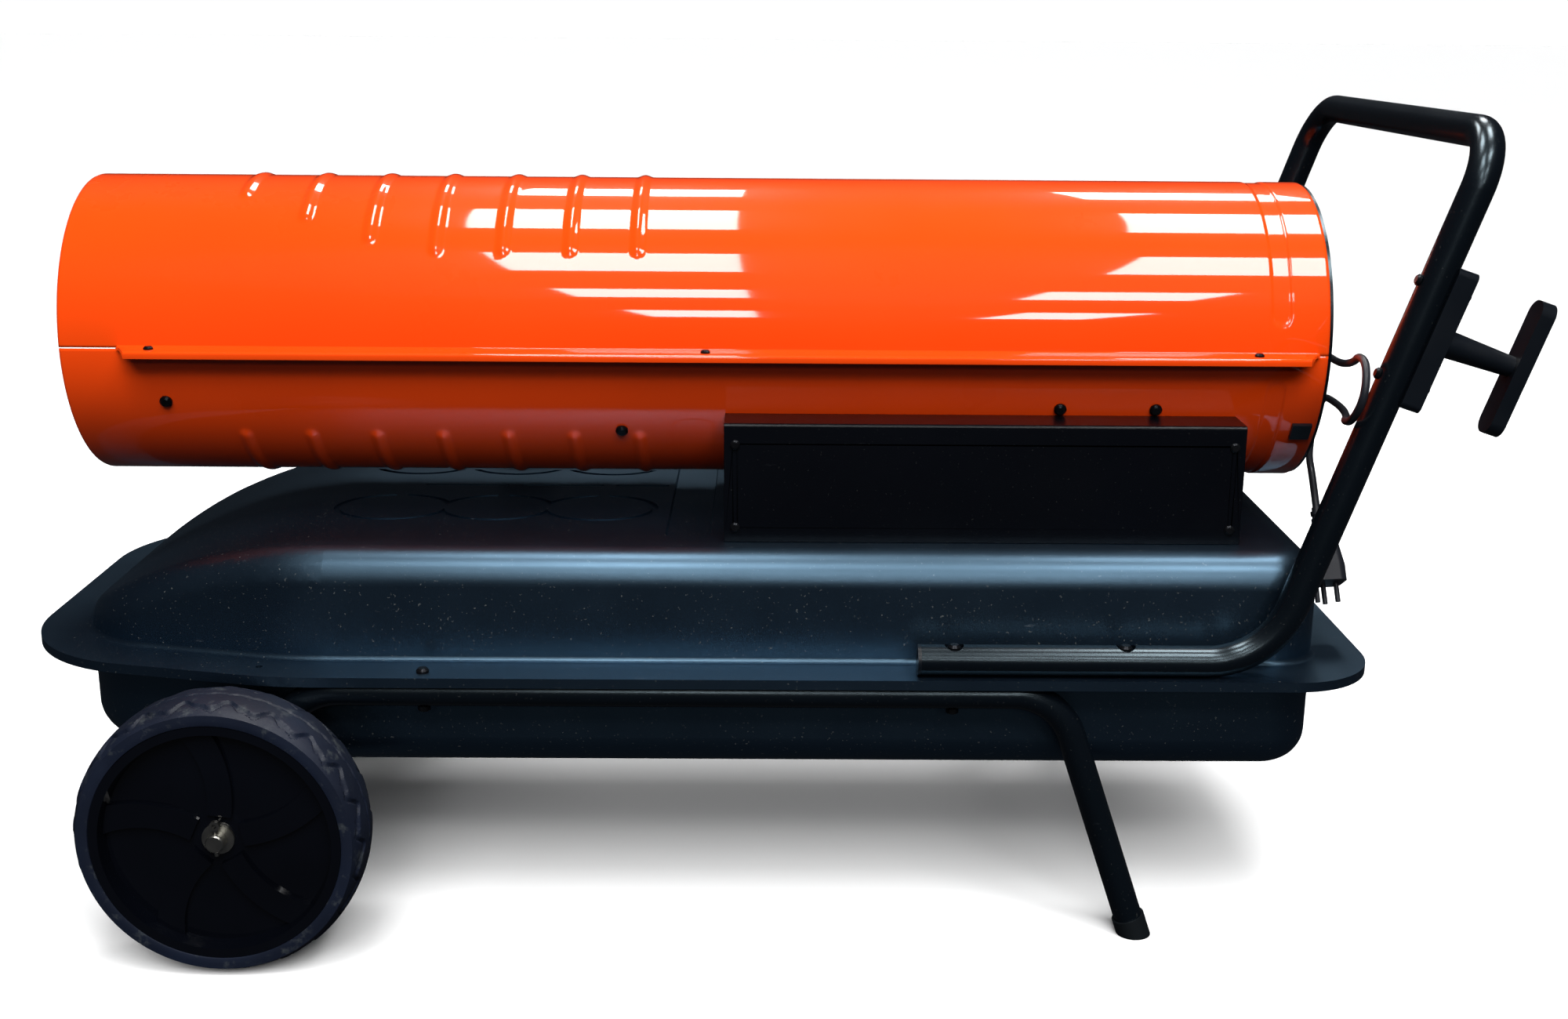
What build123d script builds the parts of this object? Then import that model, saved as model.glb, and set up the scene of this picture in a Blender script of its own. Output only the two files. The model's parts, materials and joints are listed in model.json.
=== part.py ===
"""Forced air heater on two wheels: a split barrel over a stamped fuel tank.

Millimetres. +X runs from the hot air outlet to the handle, -Y is the side with the plain cover,
+Z is up. The origin lies on the ground under the middle of the heater. Stations named *_x are
measured from the wheel axle and are turned into the model frame by at().
"""

import os
from math import acos, atan2, cos, degrees, radians, sin, sqrt, tan

from build123d import *
from build123d.topology import SkipClean

os.makedirs("parts", exist_ok=True)

# ---------------------------------------------------------------- driving dimensions
# barrel
barrel_r = 142.0            # outside of both shells
barrel_wall = 1.5
barrel_gap = 29.0           # between the tank's roof and the barrel
seam_drop = 1.5             # of the seam below the barrel's axis
outlet_x = -168.0
intake_x = 981.0
rib_count = 7
rib_last_x = 353.0
rib_pitch = 61.0
rib_width = 13.0
rib_rise = 2.2
rib_root = 0.9              # how deep a rib's section starts in the skin
rib_end_r = 22.0            # arc by which a rib's end dives into the skin
rib_ends_deg = (66.0, 52.5, 42.5, 37.5, 37.5, 37.5, 37.5)
groove_x = 937.0
groove_width = 17.0
groove_depth = 1.0
groove_end_deg = 14.0
seam_sheet = 2.0
seam_reach = 28.0           # from the shell to the lip
seam_lip = 6.5
seam_front_x = -115.0
seam_rear_x = 972.0
seam_taper = 14.0
seam_slit = 3.0
seam_screw_reach = 15.0
seam_screws_x = (-82.0, 416.0, 914.0)
flange_screw_d = 4.0
dimple_x = -142.0
dimple_deg = 10.5
dimple_r = 3.0
low_rib_deg = 38.0
snap_plug_x = 967.0
snap_plug_deg = 32.0
snap_plug_size = 18.0
snap_plug_t = 3.0
snap_plug_hole_less = 5.0
snap_leg = 9.0
snap_leg_t = 2.5

# tank
flange_z = 252.0            # top of the tank's seam flange
flange_half = 264.0
flange_front_x = -219.0
flange_rear_x = 1022.0
flange_front_half = 206.0
flange_knee_x = 40.0
flange_front_r = 140.0
flange_knee_r = 300.0
flange_rear_r = 80.0
flange_sheet = 2.5
flange_lip = 9.0
flange_lip_wall = 2.0
flange_reach = 46.0         # from the tank's wall to the flange's edge
tank_sheet = 1.6
tank_rise = 100.0
tank_fall = 105.0
shoulder_r = 31.0
belly_r = 32.0
body_front_r = 96.0
body_knee_r = 280.0
body_rear_r = 46.0
nose_x = 75.0               # where the roof starts to fall
nose_r = 420.0
foot_fillet = 5.0

# embossing on the roof
channel_x = 399.0
channel_width = 42.0
channel_half = 168.0
channel_depth = 3.5
emboss_width = 6.0
emboss_depth = 2.2
pad_x = (108.0, 209.0, 309.0)
pad_half_x = 54.0
pad_half_y = 45.0
pad_y = -56.0               # near row of oval pads
far_pad_y = 118.0
slot_y = 31.0
slots_x = ((124.0, 209.0), (221.0, 306.0), (317.0, 372.0))
bridge = 11.0

# frame
side_y = 248.0              # frame tubes and handle legs
frame_d = 26.0
tube_wall = 2.0
frame_front_x = 58.0
frame_rear_x = 733.0
leg_slope = 0.3413
frame_bend = 58.0
foot_d = 30.0
foot_h = 26.0
foot_floor = 8.0            # where the leg ends inside its cap
axle_d = 16.0
frame_tail = 17.0

# wheels
wheel_r = 126.0
wheel_width = 66.0
wheel_face_y = 335.0        # outer faces
rim_r = 108.0
tyre_seat_r = 102.0
hub_r = 21.0
rim_wall = 3.5
dish_depth = 15.0
spoke_count = 5
spoke_rise = 5.0
spoke_sweep = (-6.0, 30.0, 54.0, 15.0)
spoke_bends = (118.0, 84.0)
web_sheet = 3.5
shoulder_at = 116.0         # where the sidewall starts to round over
shoulder_bend = 11.0
crown_drop = 2.5
crown_half = 24.0
block_count = 22
lug_depth = 4.0
lug_gap = 9.0
lug_width = 14.0
running_clearance = 0.08
hub_recess = 14.0
end_play = 0.3
washer_t = 2.5
washer_r = 14.0
pin_d = 4.0

# handle
handle_d = 28.0
handle_wall = 1.8
handle_end_x = 609.0
handle_foot_x = 918.0
handle_slope = 0.3385
handle_top_z = 726.0
handle_low_bend = 75.0
handle_top_bend = 48.0
end_cap_t = 3.0
end_cap_plug = 14.0
handle_bolts_x = (638.5, 790.5)
front_bolt_x = 168.0
front_hole_x = 20.0
front_hole_y = 236.0
crush_depth = 3.5
crush_r = 8.6
bolt_d = 6.0
bolt_head_d = 11.5
bolt_head_h = 4.2

# cord wrap bracket
wrap_along = 312.0          # along the handle leg from its lower corner
wrap_length = 125.0
wrap_width = 26.0
wrap_base_t = 14.0
wrap_post = 61.5
wrap_post_d = (24.0, 18.0)
wrap_bar_t = 13.0
wrap_bar_length = 120.0
wrap_bolt_pitch = 84.0
wrap_bolt_d = 5.0
wrap_bolt_head_d = 10.0

# control box under the barrel
box_front_x = 433.0
box_rear_x = 904.0
box_half = 172.0
box_top_drop = 62.0         # of the box's top below the barrel's axis
box_sheet = 1.5
box_bend = 3.0
box_tray = 14.0
box_return = 14.0
cover_screw_in = 10.0
cover_screw_z = (366.0, 443.0)
cover_screw_d = 4.0
cover_screw_head = 9.0
floor_screw_in = 22.0
floor_screw_bite = 3.8
knob_x = 640.0
switch_x = 740.0
panel_mid_z = 408.0
stem_r = 4.0
knob_r = 17.0
knob_depth = 16.0
switch_width = 15.0
switch_height = 23.0
switch_body = 26.0
rocker_width = 10.4
rocker_r = 9.2
rocker_sink = 3.0
rocker_pin_r = 1.5
rocker_swing_deg = 20.0
transformer_x = 560.0
transformer_gap = 10.0      # to the near cover
transformer_size = (90.0, 56.0, 64.0)
board_at_x = 535.0
board_size = (110.0, 78.0)
board_standoff = 20.0

# inside the barrel
side_bolt_d = 5.0
bracket_sheet = 2.0
bracket_width = 20.0
bracket_tab = 26.0
head_lift = 0.2            # flat head on the round shell
cone_r = 60.0
baffle_x = -40.0
throat_r = 28.0
nozzle_r = 11.0
nozzle_rear_x = 440.0
electrode_y = 20.0
electrode_z = 12.0
electrode_r = 3.5
photocell_drop = 27.0
photocell_r = 6.5
stub_y = 6.0
stub_length = 16.0
hose_r = 4.0
hose_bore = 2.5
fuel_rise_x = 475.0
fuel_rise_y = 40.0
air_rise_x = 505.0
air_y = -6.0
air_stub_in = 17.0          # of the air stub behind the pump's rear face
blade_chord = 58.0
blade_sheet = 2.0
blade_pitch_deg = 32.0
pump_offset = 2.2
shaft_in_cover = 8.0
chamber_bolt_in = (22.0, 48.0)
chamber_bolt_deg = (21.3, 33.8)
chamber_band_pitch = 60.0
motor_bolt_in = 6.0
motor_bolt_deg = 22.2
chamber_r = 96.0
chamber_front_x = -100.0
chamber_rear_x = 385.0
chamber_wall = 1.5
chamber_cone = 26.0
burner_r = 46.0
burner_length = 52.0
baffle_r = 62.0
motor_r = 54.0
motor_front_x = 735.0
motor_length = 100.0
motor_seat = 4.0
shaft_r = 5.0
fan_x = 688.0
fan_hub_r = 22.0
fan_depth = 28.0
fan_tip_r = 131.0
blade_count = 5
pump_r = 47.0
pump_length = 26.0
pump_bore_r = 30.0
pump_rotor_r = 27.5
pump_cover_length = 30.0
gauge_r = 20.0
guard_rings = 6
guard_wire = 2.6
guard_band = 9.0
guard_proud = 3.0

# tank fittings on the far side
cap_x = 210.0
cap_y = 146.0
neck_r = 24.0
cap_r = 31.0
cap_h = 20.0
gauge_x = 300.0
neck_h = 9.0
gauge_hole_r = 13.0
strainer_depth = 60.0
pickup_depth = 175.0
drain_x = -60.0
drain_r = 7.0

# mains lead, by the stations of its corners
cord_d = 7.0
gland_y = 60.0
gland_z = 370.0
gland_r = 10.0
gland_length = 30.0
cord_stations = (
    (972, 60, 370), (1010, 75, 383), (1012, 80, 440), (1022, 40, 500), (1022, -10, 498),
    (1010, -90, 505), (990, -185, 524), (978, -234, 539), (976, -262, 537), (972, -277, 512),
    (968, -262, 487), (974, -222, 479), (1000, -150, 467), (1020, -75, 459), (1028, -15, 455),
    (1030, 20, 452), (1027, 36, 427), (1021, 20, 402), (1008, -22, 398), (993.5, -82, 398),
    (995, -100, 368),
)
plug_r = 17.0
plug_length = 38.0
relief_length = 36.0
plug_pin_y = 9.5
plug_pin_r = 2.4
plug_pin_length = 18.0

# ---------------------------------------------------------------- worked out from them
handle_foot_z = flange_z + handle_d / 2
handle_tilt = atan2(handle_slope, 1)
wrap_out = (handle_d / 2 + wrap_base_t + wrap_post + wrap_bar_t)
wrap_end = wrap_along + wrap_bar_length / 2
tail_x = handle_foot_x + wrap_end * sin(handle_tilt) + wrap_out * cos(handle_tilt)
axle_x = -(flange_front_x + tail_x) / 2
axle_z = wheel_r
roof_z = flange_z + tank_rise
floor_z = flange_z - tank_fall
flange_low_z = flange_z - 2 * flange_sheet
frame_z = flange_low_z - frame_d / 2
wheel_y = wheel_face_y - wheel_width / 2
inner_y = wheel_face_y - wheel_width
shell_in_r = barrel_r - barrel_wall
barrel_z = roof_z + barrel_gap + barrel_r
seam_z = barrel_z - seam_drop
box_top_z = barrel_z - box_top_drop
floor_screw_y = box_half - floor_screw_in
motor_rear_x = motor_front_x + motor_length
pump_rear_x = motor_rear_x + pump_length
air_drop_x = pump_rear_x + air_stub_in
side_bolts = (
    (chamber_front_x + chamber_bolt_in[0], chamber_bolt_deg[0]),
    (chamber_rear_x - chamber_bolt_in[1], chamber_bolt_deg[1]),
    (motor_front_x + motor_bolt_in, motor_bolt_deg),
    (motor_rear_x - motor_bolt_in, motor_bolt_deg),
)


def at(station):
    """Model X of a station measured from the axle."""
    return axle_x + station


def around_barrel(station, angle):
    """Plane on the barrel's skin: local Z points out along the radius, local X along the barrel.

    The angle is counted from the near side (-Y), positive upwards.
    """
    out = Vector(0, -cos(radians(angle)), sin(radians(angle)))
    origin = Vector(at(station), 0, barrel_z) + out * barrel_r
    return Plane(origin=origin, x_dir=(1, 0, 0), z_dir=out)


def across_barrel(station, radius=0.0, angle=0.0):
    """Plane square to the barrel's axis, with its local Z along +X."""
    centre = (at(station), -radius * cos(radians(angle)), barrel_z + radius * sin(radians(angle)))
    return Plane(origin=centre, x_dir=(0, 1, 0), z_dir=(1, 0, 0))


def rod(radius, length, mode=Mode.ADD):
    """Round bar or hole that stands on the current plane."""
    Cylinder(radius, length, align=(Align.CENTER, Align.CENTER, Align.MIN), mode=mode)


def hang(radius, length, mode=Mode.ADD):
    """Round bar or hole that goes down from the current plane."""
    Cylinder(radius, length, align=(Align.CENTER, Align.CENTER, Align.MAX), mode=mode)


def save(part, name):
    """Label a finished piece and write it."""
    part.label = name
    export_step(part, f"parts/{name}.step")


def fastener(head_d, head_h, shank_d, length):
    """Screw with a low head above the plane and a plain shank below it."""
    with BuildPart() as screw:
        hang(shank_d / 2, length)
        rod(head_d / 2, head_h / 2)
        with Locations((0, 0, head_h / 2)):
            Cone(
                head_d / 2, head_d / 3, head_h / 2, align=(Align.CENTER, Align.CENTER, Align.MIN)
            )
    return screw.part


# ---------------------------------------------------------------- tank
def tank_plan(plane, inset, front_r, knee_r, rear_r):
    """The tank's outline seen from above, drawn inside its flange edge by the inset."""
    with BuildSketch(plane) as plan:
        with BuildLine():
            near = [
                (at(flange_front_x), -flange_front_half),
                (at(flange_knee_x), -flange_half),
                (at(flange_rear_x), -flange_half),
            ]
            Polyline(*near, *[(x, -y) for x, y in reversed(near)], close=True)
        make_face()
        if inset:
            offset(amount=-inset, kind=Kind.INTERSECTION)
        corners = plan.vertices().sort_by(Axis.X)
        fillet(corners[:2], front_r)
        corners = plan.vertices().filter_by_position(Axis.X, at(-20), at(flange_rear_x))
        fillet(corners.sort_by(Axis.X)[:2], knee_r)
        fillet(plan.vertices().sort_by(Axis.X)[-2:], rear_r)
    return plan.sketch


def flange_plan(plane, inset):
    return tank_plan(plane, inset, flange_front_r - inset, flange_knee_r - inset, flange_rear_r - inset)


def body_plan(plane, wall):
    return tank_plan(
        plane, flange_reach + wall, body_front_r - wall, body_knee_r - wall, body_rear_r - wall
    )


def dome(wall, foot_z):
    """Upper body of the tank, drawn inside its outer skin by a wall."""
    with BuildPart() as body:
        extrude(body_plan(Plane.XY.offset(foot_z), wall), amount=roof_z - wall - foot_z)
        with BuildSketch(Plane.XZ):
            with BuildLine():
                front = at(flange_front_x) + flange_reach - 1
                rear = at(flange_rear_x)
                radius = nose_r - wall
                centre_z = roof_z - nose_r
                start_z = centre_z + sqrt(radius**2 - (at(nose_x) - front) ** 2)
                fall = RadiusArc((front, start_z), (at(nose_x), roof_z - wall), radius)
                Polyline(
                    fall @ 1, (rear, roof_z - wall), (rear, foot_z), (front, foot_z), fall @ 0
                )
            make_face()
        extrude(amount=flange_half, both=True, mode=Mode.INTERSECT)
        rim = [
            e
            for e in body.edges().filter_by(Axis.Z, reverse=True)
            if e.center().Z > foot_z + 1 and abs(e.center().X - at(nose_x)) > 1
        ]
        fillet(rim, shoulder_r - wall)
    return body.part


def tray(wall):
    """Lower body of the tank, drawn inside its outer skin by the wall."""
    with BuildPart() as body:
        height = flange_low_z - floor_z - wall + (2 * flange_sheet if wall else flange_sheet)
        extrude(body_plan(Plane.XY.offset(floor_z + wall), wall), amount=height)
        fillet(body.edges().group_by(Axis.Z)[0], belly_r - wall)
    return body.part


def embossing(grow):
    """Channel, oval rings, arcs and slots pressed into the roof, grown all round by a thickness."""
    half = emboss_width / 2 + grow
    pads = [(at(x), pad_y) for x in pad_x]
    with BuildPart() as pressed:
        with BuildSketch(Plane.XY.offset(roof_z)):
            with Locations((at(channel_x), 0)):
                SlotOverall(2 * (channel_half + grow), channel_width + 2 * grow, rotation=90)
        extrude(amount=-channel_depth - grow, taper=20)
        with BuildSketch(Plane.XY.offset(roof_z)):
            with Locations(*pads):
                Ellipse(pad_half_x + half, pad_half_y + half)
            with Locations(*pads):
                Ellipse(pad_half_x - half, pad_half_y - half, mode=Mode.SUBTRACT)
            with Locations(*[(x, pad_y + pad_half_y) for x, _ in pads]):
                Rectangle(bridge - 2 * grow, pad_half_y, mode=Mode.SUBTRACT)
        extrude(amount=-emboss_depth - grow)
        with BuildSketch(Plane.XY.offset(roof_z)):
            for x in pad_x:
                with Locations((at(x), far_pad_y)):
                    Ellipse(pad_half_x + grow, pad_half_y + grow)
                    Ellipse(
                        pad_half_x - emboss_width - grow, pad_half_y - emboss_width - grow,
                        mode=Mode.SUBTRACT,
                    )
                with Locations((at(x), far_pad_y + pad_half_y / 2 + grow)):
                    Rectangle(2.2 * pad_half_x, 2 * pad_half_y, mode=Mode.SUBTRACT)
            for x0, x1 in slots_x:
                with Locations((at((x0 + x1) / 2), slot_y)):
                    SlotOverall(x1 - x0 + 2 * grow, emboss_width + 2 * grow)
        extrude(amount=-emboss_depth - grow)
    return pressed.part


outer_dome = dome(0, flange_z - flange_sheet)
inner_dome = dome(tank_sheet, flange_z - flange_sheet) - embossing(tank_sheet)
frame_bolts_at = [
    (at(x), side * side_y) for x in (front_bolt_x, *handle_bolts_x) for side in (-1, 1)
]
front_holes_at = [(at(front_hole_x), side * front_hole_y) for side in (-1, 1)]
pickup_at = (at(fuel_rise_x), fuel_rise_y)
pickup_r = 7.0
clear_hole = 0.1

with BuildPart() as tank_upper:
    add(outer_dome)
    extrude(flange_plan(Plane.XY.offset(flange_z - flange_sheet), 0), amount=flange_sheet)
    seat = tank_upper.faces().filter_by_position(Axis.Z, flange_z - 0.01, flange_z + 0.01)
    foot = seat.sort_by(SortBy.AREA)[-1].inner_wires()[0].edges()
    fillet(foot, foot_fillet)
    lip_plane = Plane.XY.offset(flange_z - flange_lip)
    hem = flange_plan(lip_plane, 0) - flange_plan(lip_plane, flange_lip_wall)
    extrude(hem, amount=flange_lip - flange_sheet)
    add(inner_dome, mode=Mode.SUBTRACT)
    add(embossing(0), mode=Mode.SUBTRACT)
    with Locations((at(cap_x), cap_y, roof_z)):
        hang(neck_r - tank_sheet, 4 * tank_sheet, mode=Mode.SUBTRACT)
    with Locations((at(gauge_x), cap_y, roof_z)):
        hang(gauge_hole_r, 4 * tank_sheet, mode=Mode.SUBTRACT)
    with Locations((*pickup_at, roof_z)):
        hang(pickup_r, 4 * tank_sheet, mode=Mode.SUBTRACT)
    with Locations(*[
        (at(x), side * floor_screw_y, roof_z)
        for x in (box_front_x + 28, box_rear_x - 28)
        for side in (-1, 1)
    ]):
        hang(cover_screw_d / 2, floor_screw_bite + clear_hole, mode=Mode.SUBTRACT)
    with Locations(*[(x, y, flange_z) for x, y in frame_bolts_at + front_holes_at]):
        hang(bolt_d / 2 + clear_hole, 2 * flange_sheet, mode=Mode.SUBTRACT)
save(tank_upper.part, "tank_upper")

with BuildPart() as tank_lower:
    add(tray(0))
    rim = flange_plan(Plane.XY.offset(flange_low_z), flange_lip_wall + clear_hole)
    extrude(rim, amount=flange_sheet)
    add(tray(tank_sheet), mode=Mode.SUBTRACT)
    with Locations(*[(x, y, flange_z) for x, y in frame_bolts_at + front_holes_at]):
        hang(bolt_d / 2 + clear_hole, 4 * flange_sheet, mode=Mode.SUBTRACT)
    with Locations((at(drain_x), 0, floor_z + 2 * tank_sheet)):
        hang(drain_r + clear_hole, 4 * tank_sheet, mode=Mode.SUBTRACT)
save(tank_lower.part, "tank_lower")

with BuildPart() as drain_plug:
    with Locations((at(drain_x), 0, floor_z + tank_sheet)):
        hang(drain_r, tank_sheet + 1)
    with BuildSketch(Plane.XY.offset(floor_z)):
        with Locations((at(drain_x), 0)):
            RegularPolygon(1.5 * drain_r, 6)
    extrude(amount=-0.9 * drain_r)
save(drain_plug.part, "drain_plug")

with BuildPart() as filler_neck:
    with Locations((at(cap_x), cap_y, roof_z)):
        rod(neck_r, neck_h)
        hang(neck_r - tank_sheet, tank_sheet + 1)
        rod(neck_r + 5, 2)
    with Locations((at(cap_x), cap_y, roof_z + neck_h)):
        hang(neck_r - 2 * tank_sheet, 2 * neck_h, mode=Mode.SUBTRACT)
save(filler_neck.part, "filler_neck")

with BuildPart() as fuel_strainer:
    with Locations((at(cap_x), cap_y, roof_z + neck_h)):
        rod(neck_r, 1)
        hang(neck_r - 2 * tank_sheet - 0.5, strainer_depth)
    with Locations((at(cap_x), cap_y, roof_z + neck_h + 1)):
        hang(neck_r - 2 * tank_sheet - 1.5, strainer_depth - 0.5, mode=Mode.SUBTRACT)
    for angle in range(0, 180, 30):
        with Locations(
            Location((at(cap_x), cap_y, roof_z + neck_h - strainer_depth * 0.55), (0, 0, angle))
        ):
            Box(3 * neck_r, 4, strainer_depth * 0.5, mode=Mode.SUBTRACT)
save(fuel_strainer.part, "fuel_strainer")

with BuildPart() as fuel_cap:
    with Locations((at(cap_x), cap_y, roof_z + neck_h + 1.3)):
        rod(cap_r, cap_h * 0.6)
        rod(cap_r - 3, cap_h)
    skirt_z = roof_z + 2.3
    with Locations((at(cap_x), cap_y, skirt_z)):
        rod(cap_r, neck_h)
        rod(neck_r + 0.5, neck_h - 1, mode=Mode.SUBTRACT)
    with Locations((at(cap_x), cap_y, roof_z + neck_h + cap_h)):
        with PolarLocations(cap_r, 12):
            Cylinder(2.5, 3 * cap_h, mode=Mode.SUBTRACT)
save(fuel_cap.part, "fuel_cap")

with BuildPart() as fuel_gauge:
    with Locations((at(gauge_x), cap_y, roof_z)):
        rod(gauge_hole_r + 5, 6)
        hang(gauge_hole_r - 0.3, tank_sheet + 6)
    with Locations((at(gauge_x), cap_y, roof_z + 6)):
        hang(gauge_hole_r, 1.5, mode=Mode.SUBTRACT)
    with Locations((at(gauge_x), cap_y, roof_z - tank_sheet)):
        hang(2, tank_rise)
    with Locations((at(gauge_x), cap_y, roof_z - tank_rise)):
        hang(12, 12)
save(fuel_gauge.part, "fuel_gauge")

with BuildPart() as fuel_pickup:
    with Locations((*pickup_at, roof_z)):
        rod(pickup_r + 4, 3)
        rod(hose_bore, 16)
        hang(pickup_r - 0.2, tank_sheet + 3)
        hang(3, pickup_depth)
    with Locations((*pickup_at, roof_z - pickup_depth)):
        hang(10, 14)
save(fuel_pickup.part, "fuel_pickup")


# ---------------------------------------------------------------- frame, axle and handle
def bent_tube(points, radii, outer_r, inner_r):
    """Tube through the points, with a bend of the given radius at each inner one."""
    with BuildPart() as tube:
        with BuildLine() as path:
            FilletPolyline(*points, radius=radii)
        with BuildSketch(Plane(origin=path.line @ 0, z_dir=path.line % 0)):
            Circle(outer_r)
            if inner_r:
                Circle(inner_r, mode=Mode.SUBTRACT)
        sweep(transition=Transition.ROUND)
    return tube.part


def bolt(head_d, head_h, shank_d, grip):
    """Bolt with its head above the plane and its nut under the grip."""
    nut_r = shank_d * 0.95
    nut_h = shank_d * 0.75
    with BuildPart() as fixing:
        add(fastener(head_d, head_h, shank_d, grip + nut_h + 1))
        with BuildSketch(Plane.XY.offset(-grip)):
            RegularPolygon(nut_r, 6)
        extrude(amount=-nut_h)
    return fixing.part


def across(x, y, z):
    """Plane at a point with its local Z along +Y."""
    return Plane(origin=(x, y, z), x_dir=(1, 0, 0), z_dir=(0, 1, 0))


leg_drop = Vector(sin(atan2(leg_slope, 1)), 0, -cos(atan2(leg_slope, 1)))
fork = Vector(-frame_front_x, 0, axle_z - frame_z).normalized()
for side, name in ((-1, "frame_tube_near"), (1, "frame_tube_far")):
    y = side * side_y
    start = Vector(at(0), y, axle_z) + fork * frame_tail
    foot_x = frame_rear_x + leg_slope * (frame_z - foot_floor)
    route = [start, (at(frame_front_x), y, frame_z), (at(frame_rear_x), y, frame_z)]
    route.append((at(foot_x), y, foot_floor))
    body = bent_tube(route, [frame_bend, frame_bend], frame_d / 2, frame_d / 2 - tube_wall)
    with BuildPart() as frame_tube:
        add(body)
        with Locations(across(at(0), y, axle_z)):
            Cylinder(axle_d / 2, 2 * frame_d, mode=Mode.SUBTRACT)
        with Locations(*[(at(x), y, frame_z) for x in (front_bolt_x, handle_bolts_x[0])]):
            Cylinder(bolt_d / 2 + clear_hole, 2 * frame_d, mode=Mode.SUBTRACT)
    save(frame_tube.part, name)

with BuildPart() as foot_caps:
    for side in (-1, 1):
        end = Vector(at(foot_x), side * side_y, foot_floor)
        up_leg = Plane(origin=end, x_dir=(0, 1, 0), z_dir=-leg_drop)
        with Locations(up_leg.offset(-2 * foot_floor)):
            rod(foot_d / 2, foot_h)
        with Locations(up_leg):
            rod(frame_d / 2, foot_h, mode=Mode.SUBTRACT)
    Box(
        2 * tail_x, 3 * side_y, foot_d, align=(Align.CENTER, Align.CENTER, Align.MAX),
        mode=Mode.SUBTRACT,
    )
save(foot_caps.part, "foot_caps")

hub_end_y = wheel_face_y - hub_recess
axle_end_y = hub_end_y + washer_t + 3 * pin_d
with BuildPart() as axle:
    with Locations(across(at(0), 0, axle_z)):
        Cylinder(axle_d / 2, 2 * axle_end_y)
    chamfer(axle.edges().filter_by(GeomType.CIRCLE), 1)
    for side in (-1, 1):
        with Locations((at(0), side * (axle_end_y - 1.5 * pin_d), axle_z)):
            Cylinder(pin_d / 2, 2 * axle_d, mode=Mode.SUBTRACT)
save(axle.part, "axle")

with BuildPart() as axle_washers:
    for side in (-1, 1):
        inner = side_y + frame_d / 2
        for y0, y1 in (
            (inner, inner_y - end_play), (hub_end_y + end_play, hub_end_y + end_play + washer_t)
        ):
            with Locations(across(at(0), side * (y0 + y1) / 2, axle_z)):
                Cylinder(washer_r, y1 - y0)
                Cylinder(axle_d / 2, 2 * (y1 - y0), mode=Mode.SUBTRACT)
save(axle_washers.part, "axle_washers")

with BuildPart() as split_pins:
    for side in (-1, 1):
        pin_y = side * (axle_end_y - 1.5 * pin_d)
        with Locations((at(0), pin_y, axle_z)):
            Cylinder(pin_d / 2, 1.6 * axle_d)
        with Locations(across(at(0), pin_y, axle_z + 0.95 * axle_d)):
            Cylinder(1.1 * pin_d, pin_d)
            Cylinder(0.5 * pin_d, 2 * pin_d, mode=Mode.SUBTRACT)
save(split_pins.part, "split_pins")

handle_run = []
for side in (-1, 1):
    leg = [
        (at(handle_end_x), side * side_y, handle_foot_z),
        (at(handle_foot_x), side * side_y, handle_foot_z),
        (
            at(handle_foot_x + handle_slope * (handle_top_z - handle_foot_z)),
            side * side_y,
            handle_top_z,
        ),
    ]
    handle_run += leg if side < 0 else leg[::-1]
handle_bends = [handle_low_bend, handle_top_bend, handle_top_bend, handle_low_bend]
handle_body = bent_tube(handle_run, handle_bends, handle_d / 2, handle_d / 2 - handle_wall)
crush_z = handle_foot_z + handle_d / 2 - crush_depth


def wrap_plane(along):
    """Plane on the near handle leg's axis: local X goes up the leg, local Z out to the rear."""
    up = Vector(sin(handle_tilt), 0, cos(handle_tilt))
    origin = Vector(at(handle_foot_x), -side_y, handle_foot_z) + up * along
    return Plane(origin=origin, x_dir=up, z_dir=(cos(handle_tilt), 0, -sin(handle_tilt)))


bracket_plane = wrap_plane(wrap_along)
wrap_bolt_planes = [wrap_plane(wrap_along + end * wrap_bolt_pitch / 2) for end in (-1, 1)]

with BuildPart() as handle_tube:
    add(handle_body)
    handle_bolt_seats = [
        (at(x), side * side_y, crush_z) for x in handle_bolts_x for side in (-1, 1)
    ]
    with Locations(*handle_bolt_seats):
        hang(crush_r + 0.6, handle_wall)
        rod(crush_r, handle_d, mode=Mode.SUBTRACT)
        hang(bolt_d / 2 + clear_hole, 2 * handle_d, mode=Mode.SUBTRACT)
    with Locations(*wrap_bolt_planes):
        Cylinder(wrap_bolt_d / 2 + clear_hole, 2 * handle_d, mode=Mode.SUBTRACT)
save(handle_tube.part, "handle_tube")

with BuildPart() as handle_end_caps:
    for side in (-1, 1):
        end = Plane(
            origin=(at(handle_end_x), side * side_y, handle_foot_z), x_dir=(0, 1, 0), z_dir=(1, 0, 0)
        )
        with Locations(end):
            hang(handle_d / 2, end_cap_t)
            rod(handle_d / 2 - handle_wall, end_cap_plug)
save(handle_end_caps.part, "handle_end_caps")

with BuildPart() as frame_bolts:
    handle_grip = crush_z - flange_low_z
    for side in (-1, 1):
        for x, top, grip in (
            (front_bolt_x, flange_z, flange_z - frame_z + frame_d / 2),
            (handle_bolts_x[0], crush_z, crush_z - frame_z + frame_d / 2),
            (handle_bolts_x[1], crush_z, handle_grip),
        ):
            with Locations((at(x), side * side_y, top)):
                add(bolt(bolt_head_d, bolt_head_h, bolt_d, grip))
save(frame_bolts.part, "frame_bolts")

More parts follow.
